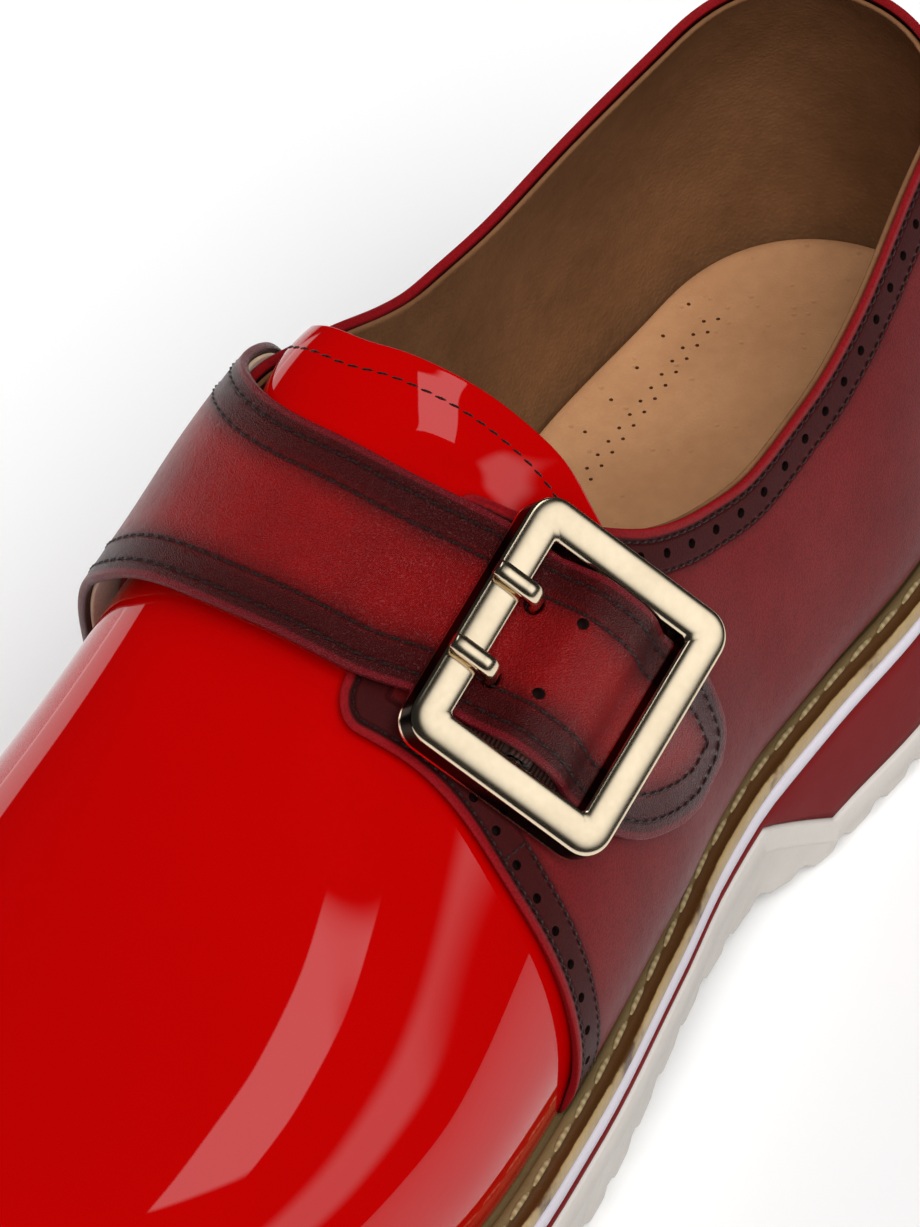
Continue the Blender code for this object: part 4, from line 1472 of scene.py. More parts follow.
# ---- sole
@dataclass
class SoleUnit:
    """Outsole, midsole, stripe, welt and footbed."""

    wardrobe: Wardrobe
    stripe_depth: float = 3.2
    stripe_height: float = 3.4
    gap: float = 0.2
    slant: Pair = (82.0, 100.0)
    heel_rise: float = 0.45
    band_top: float = 9.5
    band_height: float = 4.5
    lug_pitch: float = 9.0
    lug: tuple[Pair, ...] = ((0.0, 0.0), (1.3, 1.2), (3.4, 1.2), (4.7, 0.0), (6.8, 0.0))
    arch: float = 3.0
    heel_bevel: float = 1.6
    cup: float = 6.0
    bed: float = 4.7
    row_ends: Pair = (30.0, 130.0)
    thread: Thread = Thread(6.5, 5.6, 0.4, 0.3, slant=0.05, segments=10)
    prick: Punch = Punch(0.3, 1.6, 12)
    stations: Array = field(default_factory=lambda: SOLE.stations(96))

    @property
    def midsole_depth(self) -> float:
        """Depth of the midsole's top below the welt's."""
        return self.stripe_depth + self.stripe_height + self.gap

    def outsole_top(self, station: Number) -> Array:
        """Low under the heel's midsole, high under the forefoot.

        Args:
            station: Stations.

        Returns:
            Heights of the outsole's top.
        """
        front = SOLE.welt_top(station) - self.midsole_depth - 1.3
        reach = np.clip((station - self.slant[0]) / (self.slant[1] - self.slant[0]), 0.0, 1.0)
        return self.band_top + (front - self.band_top) * reach

    def outsole_bottom(self, station: Number) -> Array:
        """Ground under heel and forefoot, an arch between them, and the toe's spring."""
        arch = self.arch * blend(station, 76, 98) * (1 - blend(station, 122, 150))
        return SOLE.spring(station) + arch + self.heel_bevel * (1 - blend(station, 0, 14))

    def make_outsole(self) -> None:
        """Side band, bevelled lower side and a tread of cross ribs."""
        lands: dict[float, float] = {}
        for k in range(int((SOLE.length - 8) / self.lug_pitch)):
            start = k * self.lug_pitch + 4
            for shift, depth in self.lug:
                if 2.5 < start + shift < SOLE.length - 5:
                    lands[start + shift] = depth
        for t in (0.0, 0.35, 1.4, *self.slant, SOLE.length - 3.6, SOLE.length - 1.0, SOLE.length):
            lands.setdefault(t, 0.0)
        stations = np.array(sorted(lands))
        groove = np.array([lands[t] for t in stations])
        groove = join((groove, groove[-2:0:-1]))

        def bevel(t: Array) -> Array:
            """Inset of the lower side."""
            return 1.8 + 2.4 * blend(t, *self.slant)

        def lower(inset: Callable, rise: float, share: float) -> Array:
            """Loop at the tread, cut up into its grooves.

            Args:
                inset: Function of the station.
                rise: Height above the tread.
                share: Share of the grooves' depth.

            Returns:
                Points of the loop.
            """
            ring = SOLE.ring(stations, inset, lambda t: self.outsole_bottom(t) + rise)
            ring[:, 2] += groove * share
            return ring

        top = self.outsole_top
        band = self.band_height
        rings = [
            SOLE.ring(stations, 6.0, top),
            SOLE.ring(stations, 0.5, top),
            SOLE.ring(stations, 0.0, lambda t: top(t) - 0.35),
            SOLE.ring(stations, 0.0, lambda t: top(t) - band + 0.3),
            SOLE.ring(stations, 0.2, lambda t: top(t) - band),
            SOLE.ring(stations, 0.9, lambda t: top(t) - band - 0.5),
            lower(lambda t: bevel(t) - 0.2, 1.3, 0.9),
            lower(lambda t: bevel(t) + 0.2, 0.5, 1.0),
            lower(lambda t: bevel(t) + 1.0, 0.0, 1.0),
            lower(lambda t: bevel(t) + 3.0, 0.0, 1.0),
        ]
        piece = Bench.loft("outsole_rubber", rings)
        Bench.apply(piece, "BEVEL", width=0.25 * MM, segments=2, limit_method="ANGLE", angle_limit=0.6)
        Bench.done(piece, [self.wardrobe.outsole], "outsole", "outsole")
        Bench.crisp(piece, 0.6)

    def make_plates(self) -> None:
        """Midsole and stripe, softly rounded at their edges."""
        welt = SOLE.welt_top
        stations = SOLE.stations(96, self.slant)
        low = self.outsole_top

        def top(t: Array) -> Array:
            """Top of the midsole, a little higher under the heel."""
            return welt(t) - self.midsole_depth + self.heel_rise * (1 - blend(t, 60, 115))

        def bottom(t: Array) -> Array:
            """Underside of the midsole."""
            return low(t) + self.gap

        def share(part: float) -> Callable:
            """Height at a share of the midsole's depth."""
            return lambda t: top(t) + (bottom(t) - top(t)) * part

        def stripe(t: Array, part: float) -> Array:
            """Height at a share of the stripe's depth."""
            start = welt(t) - self.stripe_depth
            return start + (top(t) + self.gap - start) * part

        levels = [(6.0, top), (0.7, top), (0.4, share(0.12)), (0.32, share(0.5))]
        levels += [(0.35, share(0.88)), (0.6, bottom), (6.0, bottom)]
        rings = [SOLE.ring(stations, inset, height) for inset, height in levels]
        Bench.done(Bench.loft("midsole_foam", rings), [self.wardrobe.midsole], "midsole", "midsole")
        levels = [(6.0, 0), (0.75, 0), (0.35, 0.09), (0.22, 0.5), (0.35, 0.91), (0.75, 1), (6.0, 1)]
        rings = [SOLE.ring(self.stations, inset, lambda t, at=at: stripe(t, at)) for inset, at in levels]
        piece = Bench.loft("stripe_foam", rings)
        Bench.done(piece, [self.wardrobe.stripe], "midsole_stripe", "midsole_stripe")

    def make_welt(self) -> None:
        """Welt with an inner bead, a stitched groove, a hollow channel and a rounded rim."""
        profile = [
            (9.0, -0.3), (4.1, -0.3), (4.0, 0.15), (3.6, 0.4), (3.0, 0.42), (2.6, 0.3), (2.25, 0.0),
            (1.9, -0.3), (1.4, -0.42), (0.9, -0.3), (0.5, -0.08), (0.25, -0.08), (0.05, -0.35),
            (0.0, -0.7), (0.0, -2.55), (0.25, -2.95), (9.0, -2.95),
        ]
        rings = [SOLE.ring(self.stations, inset, SOLE.above_welt(up)) for inset, up in profile]
        piece = Bench.smooth(Bench.loft("welt_leather", rings), 1)
        edge = near_tree(SOLE.ring(SOLE.stations(400), 0.0, np.zeros_like))
        across = [edge.find((x, y, 0.0))[2] for x, y, _ in Bench.corners(piece)]
        Bench.write(piece, "across", np.array(across))
        Bench.done(piece, [self.wardrobe.welt], "welt", "welt")
        path = SOLE.ring(SOLE.stations(200), 2.42, SOLE.above_welt(0.12))
        path = join((path, path[:1]))
        row = Line(path, np.tile((0.0, 0.0, 1.0), (len(path), 1)))
        self.thread.sew("welt_stitches", [row], self.wardrobe.welt_thread, "welt")

    def footbed_inset(self, height: float, more: float) -> Callable:
        """Inset of the footbed's edge at a height above the welt.

        Args:
            height: Height above the welt.
            more: Distance added to the inset.

        Returns:
            Function of the station.
        """

        def inset(t: Array) -> Array:
            """Inset that follows the wall's swell.

            Args:
                t: Stations.

            Returns:
                Insets.
            """
            level = 1 - height / LAST.sections.at("widest_z", t)
            swell = LAST.sections.at("swell_lateral", t)
            swell = np.minimum(swell, LAST.sections.at("swell_medial", t))
            return 7.9 + 3.5 * blend(t, 225, LAST.tip) - 0.9 * swell * (1 - level**2) + more

        return inset

    def make_footbed(self) -> None:
        """Cupped footbed with two zigzag rows of perforations."""
        bed = self.bed
        levels = [(22.0, bed), (17.0, bed), (12.0, bed + 0.25), (9.6, bed + 0.7)]
        rings = [SOLE.ring(self.stations, inset, SOLE.above_welt(up)) for inset, up in levels]
        for height, more in ((self.cup, 0.5), (self.cup - 0.7, 0.1), (2.5, 0.1), (0.2, 0.1)):
            inset = self.footbed_inset(height, more)
            rings.append(SOLE.ring(self.stations, inset, SOLE.above_welt(height)))
        piece = Bench.smooth(Bench.loft("footbed", rings, 10), 1)
        spots = []
        for k, station in enumerate(np.arange(*self.row_ends, 1.5)):
            zigzag = 0.8 if k % 2 else -0.8
            spots.append((-station, 16.2 - 0.06 * (station - 56) + zigzag, SOLE.welt_top(station) + bed))
        for station in np.arange(*self.row_ends, 7.2):
            spots.append((-station, 21.2 - 0.05 * (station - 50), SOLE.welt_top(station) + bed))
        row = Line.lay(tree_of(piece), np.array(spots))
        holes = Line(row.points, np.tile((0.0, 0.0, 1.0), (len(spots), 1)))
        Bench.pierce(piece, holes, self.prick)
        Bench.done(piece, [self.wardrobe.footbed, self.wardrobe.pricked_shade], "insole", "insole")
        Bench.crisp(piece, 0.9)

    def build(self) -> None:
        """Makes every layer of the sole."""
        self.make_outsole()
        self.make_plates()
        self.make_welt()
        self.make_footbed()


# ---- upper
@dataclass
class Upper:
    """Vamp, quarters with their stitching and brogueing, and lining."""

    wardrobe: Wardrobe
    quarter_lift: float = 1.6
    leather: float = 1.3
    vamp_leather: float = 1.9
    lining: float = 0.75
    thread: Thread = Thread(slant=0.1)
    fronts: dict[Side, float] = field(default_factory=lambda: {Side.LATERAL: 161.0, Side.MEDIAL: 149.0})
    corner: float = 4.5
    throat: float = 142.3
    punch: Punch = Punch(0.72, 2.0, 18)
    collar_end: float = 116.5
    back_seam: float = 6.9
    seam_ends: Pair = (0.62, 0.03)
    seam_at: float = 0.496
    holes_from: float = 0.64
    edge_row: float = 2.0
    front_shape: Curves = Curves(
        "forward",
        [
            (0.0, 3.0), (0.2, 1.5), (0.35, 0.4), (0.45, 0.1), (0.5, -0.4), (0.55, -1.2), (0.6, -1.6),
            (0.65, -1.2), (0.7, -0.2), (0.74, 0.6), (0.78, 0.8),
        ],
    )
    hole_row: float = 4.0
    hole_pitch: float = 5.4
    front_hole_row: float = 3.3
    front_hole_pitch: float = 5.5
    inner_row: float = 6.4

    def front_bend(self, station: Number, v: Number) -> Array:
        """Bends columns near the front edge forwards as they go down to the welt."""
        near = blend(station, 135, 157) * (1 - blend(station, 172, 215))
        return near * self.front_shape.at("forward", v)

    def reach(self, side: Side, station: Array, v: Array) -> Array:
        """Length in millimetres of one unit of v near a place."""
        step = LAST.point(side.value, station, v - 0.02) - LAST.point(side.value, station, v - 0.04)
        return np.linalg.norm(step, axis=-1) / 0.02

    def limit(self, side: Side, station: Array) -> Array:
        """Top of the quarter, rounded at its front corner.

        Args:
            side: Which quarter.
            station: Stations.

        Returns:
            v of the quarter's top.
        """
        base = COLLAR.at(side.label, station)
        past = np.clip(station - (self.fronts[side] - self.corner), 0.0, self.corner)
        drop = self.corner - np.sqrt(np.maximum(self.corner**2 - past**2, 0.0))
        return base - drop / self.reach(side, station, base)

    def edge_line(self, side: Side) -> tuple[Line, Array]:
        """Line along a quarter's edge, from the back of the heel to the front of the welt.

        Args:
            side: Which quarter.

        Returns:
            The line with the last's normals, and v along its front, 1 on the collar.
        """
        front = self.fronts[side]
        round_corner = front - self.corner * (1 - np.sin(np.linspace(0, np.pi / 2, 14)))
        t = join((np.arange(5.0, front - self.corner, 0.5), round_corner))
        down = np.linspace(self.limit(side, np.array(front)), 0.01, 120)[1:]
        v = join((self.limit(side, t), down))
        height = join((np.ones(len(t)), down))
        t = join((t, np.full(len(down), front)))
        t = t + self.front_bend(t, v)
        edge = Line(LAST.skin(side.value, t, v, self.quarter_lift), LAST.normal(side.value, t, v))
        return edge, height

    def make_vamp(self) -> None:
        """Patent vamp in one sheet from welt to welt, closed round the toe."""
        start = LAST.toe_box
        toe = LAST.tip - (LAST.tip - start) * (1 - np.sin(np.linspace(0, np.pi / 2, 15)))
        t = join((np.linspace(self.throat, start, 30)[:-1], toe))
        v = join(([0, 0.012, 0.035, 0.07, 0.11], np.linspace(0.15, 0.96, 17), [1.0]))
        side = join((-np.ones(len(v)), np.ones(len(v) - 1)))
        v = join((v, v[-2::-1]))
        points = LAST.skin(side[None, :], t[:, None], v[None, :], 0.0)
        piece = Bench.sheet("vamp", points, (-200, 0, 40))
        Bench.smooth(Bench.thicken(piece, self.vamp_leather, back=1), 2)
        Bench.done(piece, [self.wardrobe.patent, self.wardrobe.lining], "upper", "upper")

    def quarter_sheet(self, side: Side) -> Array:
        """Rows and columns of a quarter's outer face, with a soft roll along its edges.

        Args:
            side: Which quarter.

        Returns:
            Points from heel to front and from top to welt.
        """
        front = self.fronts[side]
        t = join(
            (
                5 + 29 * np.linspace(0, 1, 12)[:-1] ** 1.15,
                np.arange(34, 121, 2.9),
                np.arange(121.5, 131.0, 1.2),
                np.arange(132.0, front - 6.5, 2.6),
                front - np.array([5.0, 3.6, 2.4, 1.5, 0.8, 0.3, 0.0]),
            )
        )
        top = self.limit(side, t)[:, None]
        below = np.array([0.0, 0.5, 1.1, 1.9, 2.7, 4.0, 5.6, 7.4, 9.6, 12.4])
        upper = top - below / self.reach(side, t, top[:, 0])[:, None]
        v = join((upper, upper[:, -1:] * np.linspace(1, 0, 15)[1:]), axis=1)
        depth = join((below, np.full(14, 20.0)))
        near = np.minimum(depth[None, :], (front - t)[:, None])
        roll = 0.32 * bump(near, 0.6, 0.6) - 0.1 * bump(near, 1.9, 0.5)
        lift = 0.3 + (self.quarter_lift - 0.3) * blend(v, 0.0, 0.08) + roll
        return LAST.skin(side.value, t[:, None] + self.front_bend(t[:, None], v), v, lift)

    def make_quarter(self, side: Side) -> None:
        """Quarter with its rolled edge, punched holes and sewn rows.

        Args:
            side: Which quarter.
        """
        piece = Bench.sheet(f"quarter_{side.label}", self.quarter_sheet(side), (-90, 0, 50))
        Bench.smooth(Bench.thicken(piece, self.leather), 2)
        surface = tree_of(piece)
        sign = 1.0 if side is Side.LATERAL else -1.0
        edge, v = self.edge_line(side)
        sewn = edge.inset(surface, self.edge_row, sign)
        inner = edge.inset(surface, self.inner_row, sign)
        holes = edge.inset(surface, self.hole_row, sign)
        front_holes = edge.inset(surface, self.front_hole_row, sign)
        collar = (-edge.points[:, 0] < self.collar_end) & (v == 1.0)
        inner_rows = [self.part(inner, collar), self.part(inner, v < self.seam_at)]
        start = int(np.argmax(v < self.seam_at))
        share = np.linspace(0, 1, 12)[:, None]
        across = sewn.points[start] * (1 - share) + inner.points[start] * share
        inner_rows.append(Line.lay(surface, across))
        spots = [
            self.part(holes, collar).spaced(self.hole_pitch),
            self.part(front_holes, v < self.holes_from).spaced(self.front_hole_pitch),
        ]
        centres = Line(join([s.points for s in spots]), join([s.normals for s in spots]))
        down = np.linspace(*self.seam_ends, 60)
        seam = Line.lay(surface, LAST.skin(side.value, self.back_seam, down, self.quarter_lift))
        Bench.pierce(piece, centres, self.punch)
        Bench.write(piece, "edge", Bench.nearness(piece, edge.points))
        Bench.done(piece, [self.wardrobe.quarter, self.wardrobe.punched], "upper", "upper")
        Bench.crisp(piece, 1.0)
        rows = [sewn, *inner_rows, seam]
        self.thread.sew(f"quarter_stitches_{side.label}", rows, self.wardrobe.thread, "upper")

    @staticmethod
    def part(line: Line, kept: Array) -> Line:
        """The kept points of a line."""
        return Line(line.points[kept], line.normals[kept])

    def make_lining(self) -> None:
        """Leather lining of the rear of the upper, in one sheet round the heel."""
        heel = 5 + 29 * np.linspace(0, 1, 9)[:-1]
        t = join((heel, np.arange(34, 121, 4.0), np.arange(122, 142, 2.2)))
        share = join(([1.0, 0.985, 0.96], np.linspace(0.92, 0.0, 11)))
        halves = []
        for side in Side:
            top = COLLAR.at(side.label, t)
            top = top - 0.35 / self.reach(side, t, top)
            halves.append(LAST.skin(side.value, t, top * share[:, None], 0.15))
        points = join((halves[0][:, ::-1], halves[1][:, 1:]), axis=1)
        piece = Bench.sheet("lining", points, (-90, 0, 50))
        Bench.smooth(Bench.thicken(piece, self.lining), 1)
        Bench.done(piece, [self.wardrobe.lining], "upper", "upper")

    def build(self) -> None:
        """Makes every piece of the upper."""
        self.make_vamp()
        self.make_lining()
        for side in Side:
            self.make_quarter(side)


@dataclass
class Tongue:
    """Patent tongue with its raw edge, backing and sewn row."""

    wardrobe: Wardrobe
    side_v: float = 0.50
    front: float = 141.8
    row: float = 4.6
    leather: float = 1.1
    backing: float = 1.0
    dip: float = 1.5
    thread: Thread = Thread(2.15, 2.05, 0.17, 0.26)
    top: Curves = Curves(
        "station",
        [
            (-1.0, 113.5), (-0.78, 113.0), (-0.5, 115.0), (-0.2, 118.5), (0.0, 120.5), (0.3, 119.6),
            (0.6, 117.3), (1.0, 117.0),
        ],
    )

    def sheet(self, shrink: float, drop: float) -> Array:
        """Rows and columns of one layer.

        Args:
            shrink: How far its top edge stops short.
            drop: Depth below the vamp's surface.

        Returns:
            Points from the top edge forwards.
        """
        across = np.linspace(-1, 1, 37)
        side = np.where(across < 0, -1, 1)
        v = 1 - (1 - self.side_v) * np.abs(across)
        v = np.where((v > 0.985) & (v < 1), 1.0, v)
        top = self.top.at("station", across) + shrink
        rows = join(([0, 0.02, 0.06, 0.12, 0.2], np.linspace(0.3, 1, 9)))
        station = top + (self.front - top) * rows[:, None]
        edge = np.where(side < 0, COLLAR.at("lateral", station), COLLAR.at("medial", station))
        slope = np.clip((v - edge - 0.02) / 0.1, 0.0, 1.0)
        dip = self.dip * (1 - slope * slope * (3 - 2 * slope))
        return LAST.skin(side, station, v, -dip - drop)

    def build(self) -> None:
        """Makes the tongue's layers and its stitches."""
        inside = (-128, 0, 40)
        outer = Bench.sheet("tongue_patent", self.sheet(0.0, 0.0), inside)
        Bench.smooth(Bench.thicken(outer, self.leather, rim=1, back=1), 2)
        Bench.done(outer, [self.wardrobe.patent, self.wardrobe.raw], "patent", "tongue")
        backing = Bench.sheet("tongue_backing", self.sheet(-0.35, 1.15), inside)
        Bench.smooth(Bench.thicken(backing, self.backing), 1)
        Bench.done(backing, [self.wardrobe.raw], "patent", "tongue")
        surface = tree_of(outer)
        across = np.linspace(-0.97, 0.97, 140)
        side = np.where(across < 0, -1, 1)
        v = 1 - (1 - self.side_v) * np.abs(across)
        row = LAST.skin(side, self.top.at("station", across) + self.row, v, 0.2)
        row = Line.lay(surface, row).eased(4)
        self.thread.sew("tongue_stitches", [row], self.wardrobe.thread, "patent")


# ---- buckle and strap
@dataclass(frozen=True)
class BucklePlace:
    """Axes of the buckle: along the strap outwards, across it heelwards, and out of the frame."""

    station: float = 137.6
    y: float = -33.6
    z: float = 82.9
    fall: float = 47.8
    rise: float = 21.6
    twist: float = 1.1

    def axes(self) -> Array:
        """The three unit axes as rows.

        Returns:
            Three by three, in the shoe's axes.
        """
        fall, rise, twist = (math.radians(a) for a in (self.fall, self.rise, self.twist))
        across = np.array((math.cos(rise), 0, math.sin(rise)))
        up = np.array((-math.sin(rise), 0, math.cos(rise)))
        outwards = np.array((0.0, -1.0, 0.0))
        along = outwards * math.cos(fall) - up * math.sin(fall)
        normal = up * math.cos(fall) + outwards * math.sin(fall)
        c, s = math.cos(twist), math.sin(twist)
        return np.array((along * c + across * s, across * c - along * s, normal))

    def at(self, local: Array) -> Array:
        """Points given along, across and out of the frame."""
        centre = np.array((-self.station, self.y, self.z))
        return centre + np.asarray(local, float) @ self.axes()


PLACE = BucklePlace()


@dataclass
class Buckle:
    """Frame with its centre bar and two prongs."""

    wardrobe: Wardrobe
    across: float = 38.9
    along: float = 34.2
    bar: float = 5.4
    corner: float = 4.2
    bar_out: float = -0.7
    lean: Pair = (-0.55, -1.3)
    fillet: float = 0.7
    bar_radius: float = 1.1
    radii: Triple = (1.35, 2.2, 2.3)
    prong_width: float = 2.8
    prong_depth: float = 1.6
    prongs: dict[str, float] = field(default_factory=lambda: {"prong_rear": 5.6, "prong_front": -6.2})

    def tube(self, name: str, rings: Array, close: bool) -> Piece:
        """Swept body from rings in the buckle's axes.

        Args:
            name: Piece's name.
            rings: Rings by points by axes.
            close: Whether the sweep returns to its start.

        Returns:
            The body.
        """
        rings = join((rings, rings[:, :1]), axis=1)
        if close:
            rings = join((rings, rings[:1]))
        piece = Bench.sheet(name, PLACE.at(rings), (0, 0, 0))
        steps = [lambda: bpy.ops.mesh.normals_make_consistent(inside=False)]
        if not close:
            steps.insert(0, lambda: bpy.ops.mesh.fill_holes(sides=0))
        Bench.edit(piece, *steps)
        return piece

    def make_frame(self) -> None:
        """Rounded rectangle swept with a softly domed section."""
        half_along, half_across = self.along / 2, self.across / 2
        wall = [(0.0, -1.2), (0.06, -1.4), (0.35, -1.5), (2.7, -1.5), (5.05, -1.5), (5.34, -1.4), (5.4, -1.2)]
        crown = [(0.0, 0.8), (0.03, 1.05), (0.16, 1.26), (0.42, 1.38), (0.9, 1.46), (1.7, 1.51), (2.7, 1.53)]
        section = wall + [(self.bar - inset, out) for inset, out in crown[:-1]] + crown[::-1]
        inset, out = np.array(section).T
        reach = self.corner - inset
        arm = np.maximum(reach, self.fillet)
        back = reach - arm
        sink = (1.5 - out) / 3
        rings = []
        for number, (sx, sy) in enumerate(((1, 1), (-1, 1), (-1, -1), (1, -1))):
            cx, cy = sx * (half_along - self.corner), sy * (half_across - self.corner)
            for step in range(9):
                angle = math.pi / 2 * (number + step / 8)
                x = cx + back * sx + arm * math.cos(angle) + self.lean[0] * sink
                y = cy + back * sy + arm * math.sin(angle) + self.lean[1] * sink
                rings.append(np.stack((x, y, out), -1))
            axis = number % 2
            bar = np.zeros(3)
            bar[axis] = (1 if number > 1 else -1) * ((self.along, self.across)[axis] - 2 * self.corner)
            corner = rings[-1]
            rings += [corner + bar * share for share in (0.04, 0.5, 0.96)]
        piece = self.tube("buckle_frame_gold", np.array(rings), True)
        Bench.smooth(piece, 2)
        # The side walls between the crown and the lowest edge take the dark plate, a painted reflection of
        # the shaded leather beside them.
        up = PLACE.axes()[2]
        height = (Bench.corners(piece) - PLACE.at((0.0, 0.0, 0.0))) @ up
        for face in piece.data.polygons:
            level = height[list(face.vertices)].mean()
            if -0.8 < level < 0.95 and abs(face.normal.dot(Vector(up))) < 0.5:
                face.material_index = 1
        Bench.done(piece, [self.wardrobe.gold, self.wardrobe.dark_gold], "buckle_metal", "buckle_frame")
        angles = turn(24)
        x, z = self.bar_radius * np.cos(angles), self.bar_radius * np.sin(angles) + self.bar_out
        lengths = np.linspace(1.0 - half_across, half_across - 1.0, 12)
        rings = [np.stack((x, np.full(24, length), z), -1) for length in lengths]
        bar = self.tube("buckle_bar", np.array(rings), False)
        Bench.done(bar, [self.wardrobe.gold], "buckle_metal", "buckle_frame")

    def sleeve(self, name: str, radii: Triple, low: float, high: float) -> Piece:
        """Short sleeve round the centre bar.

        Args:
            name: Piece's name.
            radii: Radii of its bore, its ends and its middle.
            low: Where it starts across the strap.
            high: Where it ends.

        Returns:
            The sleeve.
        """
        bore, end, outer = radii
        angles = turn(28)
        rings = []
        outline = [(bore, low), (end, low), (outer, low + 0.2)]
        outline += [(outer, high - 0.2), (end, high), (bore, high)]
        for radius, place in outline:
            x, z = radius * np.cos(angles), self.bar_out + radius * np.sin(angles)
            rings.append(np.stack((x, np.full(28, place), z), -1))
        return self.tube(name, np.array(rings), True)

    def make_prong(self, name: str, place: float) -> None:
        """Rod that rises through the strap and rests on the inner bar, and its loop.

        Args:
            name: Prong's node.
            place: Its place across the strap.
        """
        path = np.array(
            [
                (-2.2, self.bar_out - 1.5), (-4.8, -2.5), (-7.2, -2.6), (-8.5, -1.7), (-9.3, 0.2),
                (-10.0, 1.8), (-11.0, 2.65), (-12.6, 2.75), (-15.0, 2.7), (-17.7, 2.7),
            ]
        )
        places = travelled(path)
        where = np.linspace(0, places[-1], 30)
        line = spline(path, places, where)
        tangent = unit(np.gradient(line, axis=0))
        normal = np.stack((tangent[:, 1], -tangent[:, 0]), -1)
        angles = turn(20)
        c, s = np.cos(angles), np.sin(angles)
        wide = self.prong_width / 2
        rings = []
        for k, (centre, out) in enumerate(zip(line, normal)):
            size = 0.84 + 0.16 * min(len(line) - 1 - k, 2) / 2
            a = np.copysign(np.abs(c) ** 0.7, c) * wide * size
            b = np.copysign(np.abs(s) ** 0.75, s) * self.prong_depth / 2 * size
            rings.append(np.stack((centre[0] + out[0] * b, place + a, centre[1] + out[1] * b), -1))
        piece = self.tube(f"{name}_gold", np.array(rings), False)
        Bench.apply(piece, "BEVEL", width=0.22 * MM, segments=2, limit_method="ANGLE", angle_limit=0.9)
        Bench.done(piece, [self.wardrobe.gold], "buckle_metal", name)
        loop = self.sleeve(f"{name}_loop", self.radii, place - wide, place + wide)
        Bench.done(loop, [self.wardrobe.gold], "buckle_metal", name)

    def build(self) -> None:
        """Makes the frame and the prongs."""
        self.make_frame()
        for name, place in self.prongs.items():
            self.make_prong(name, place)


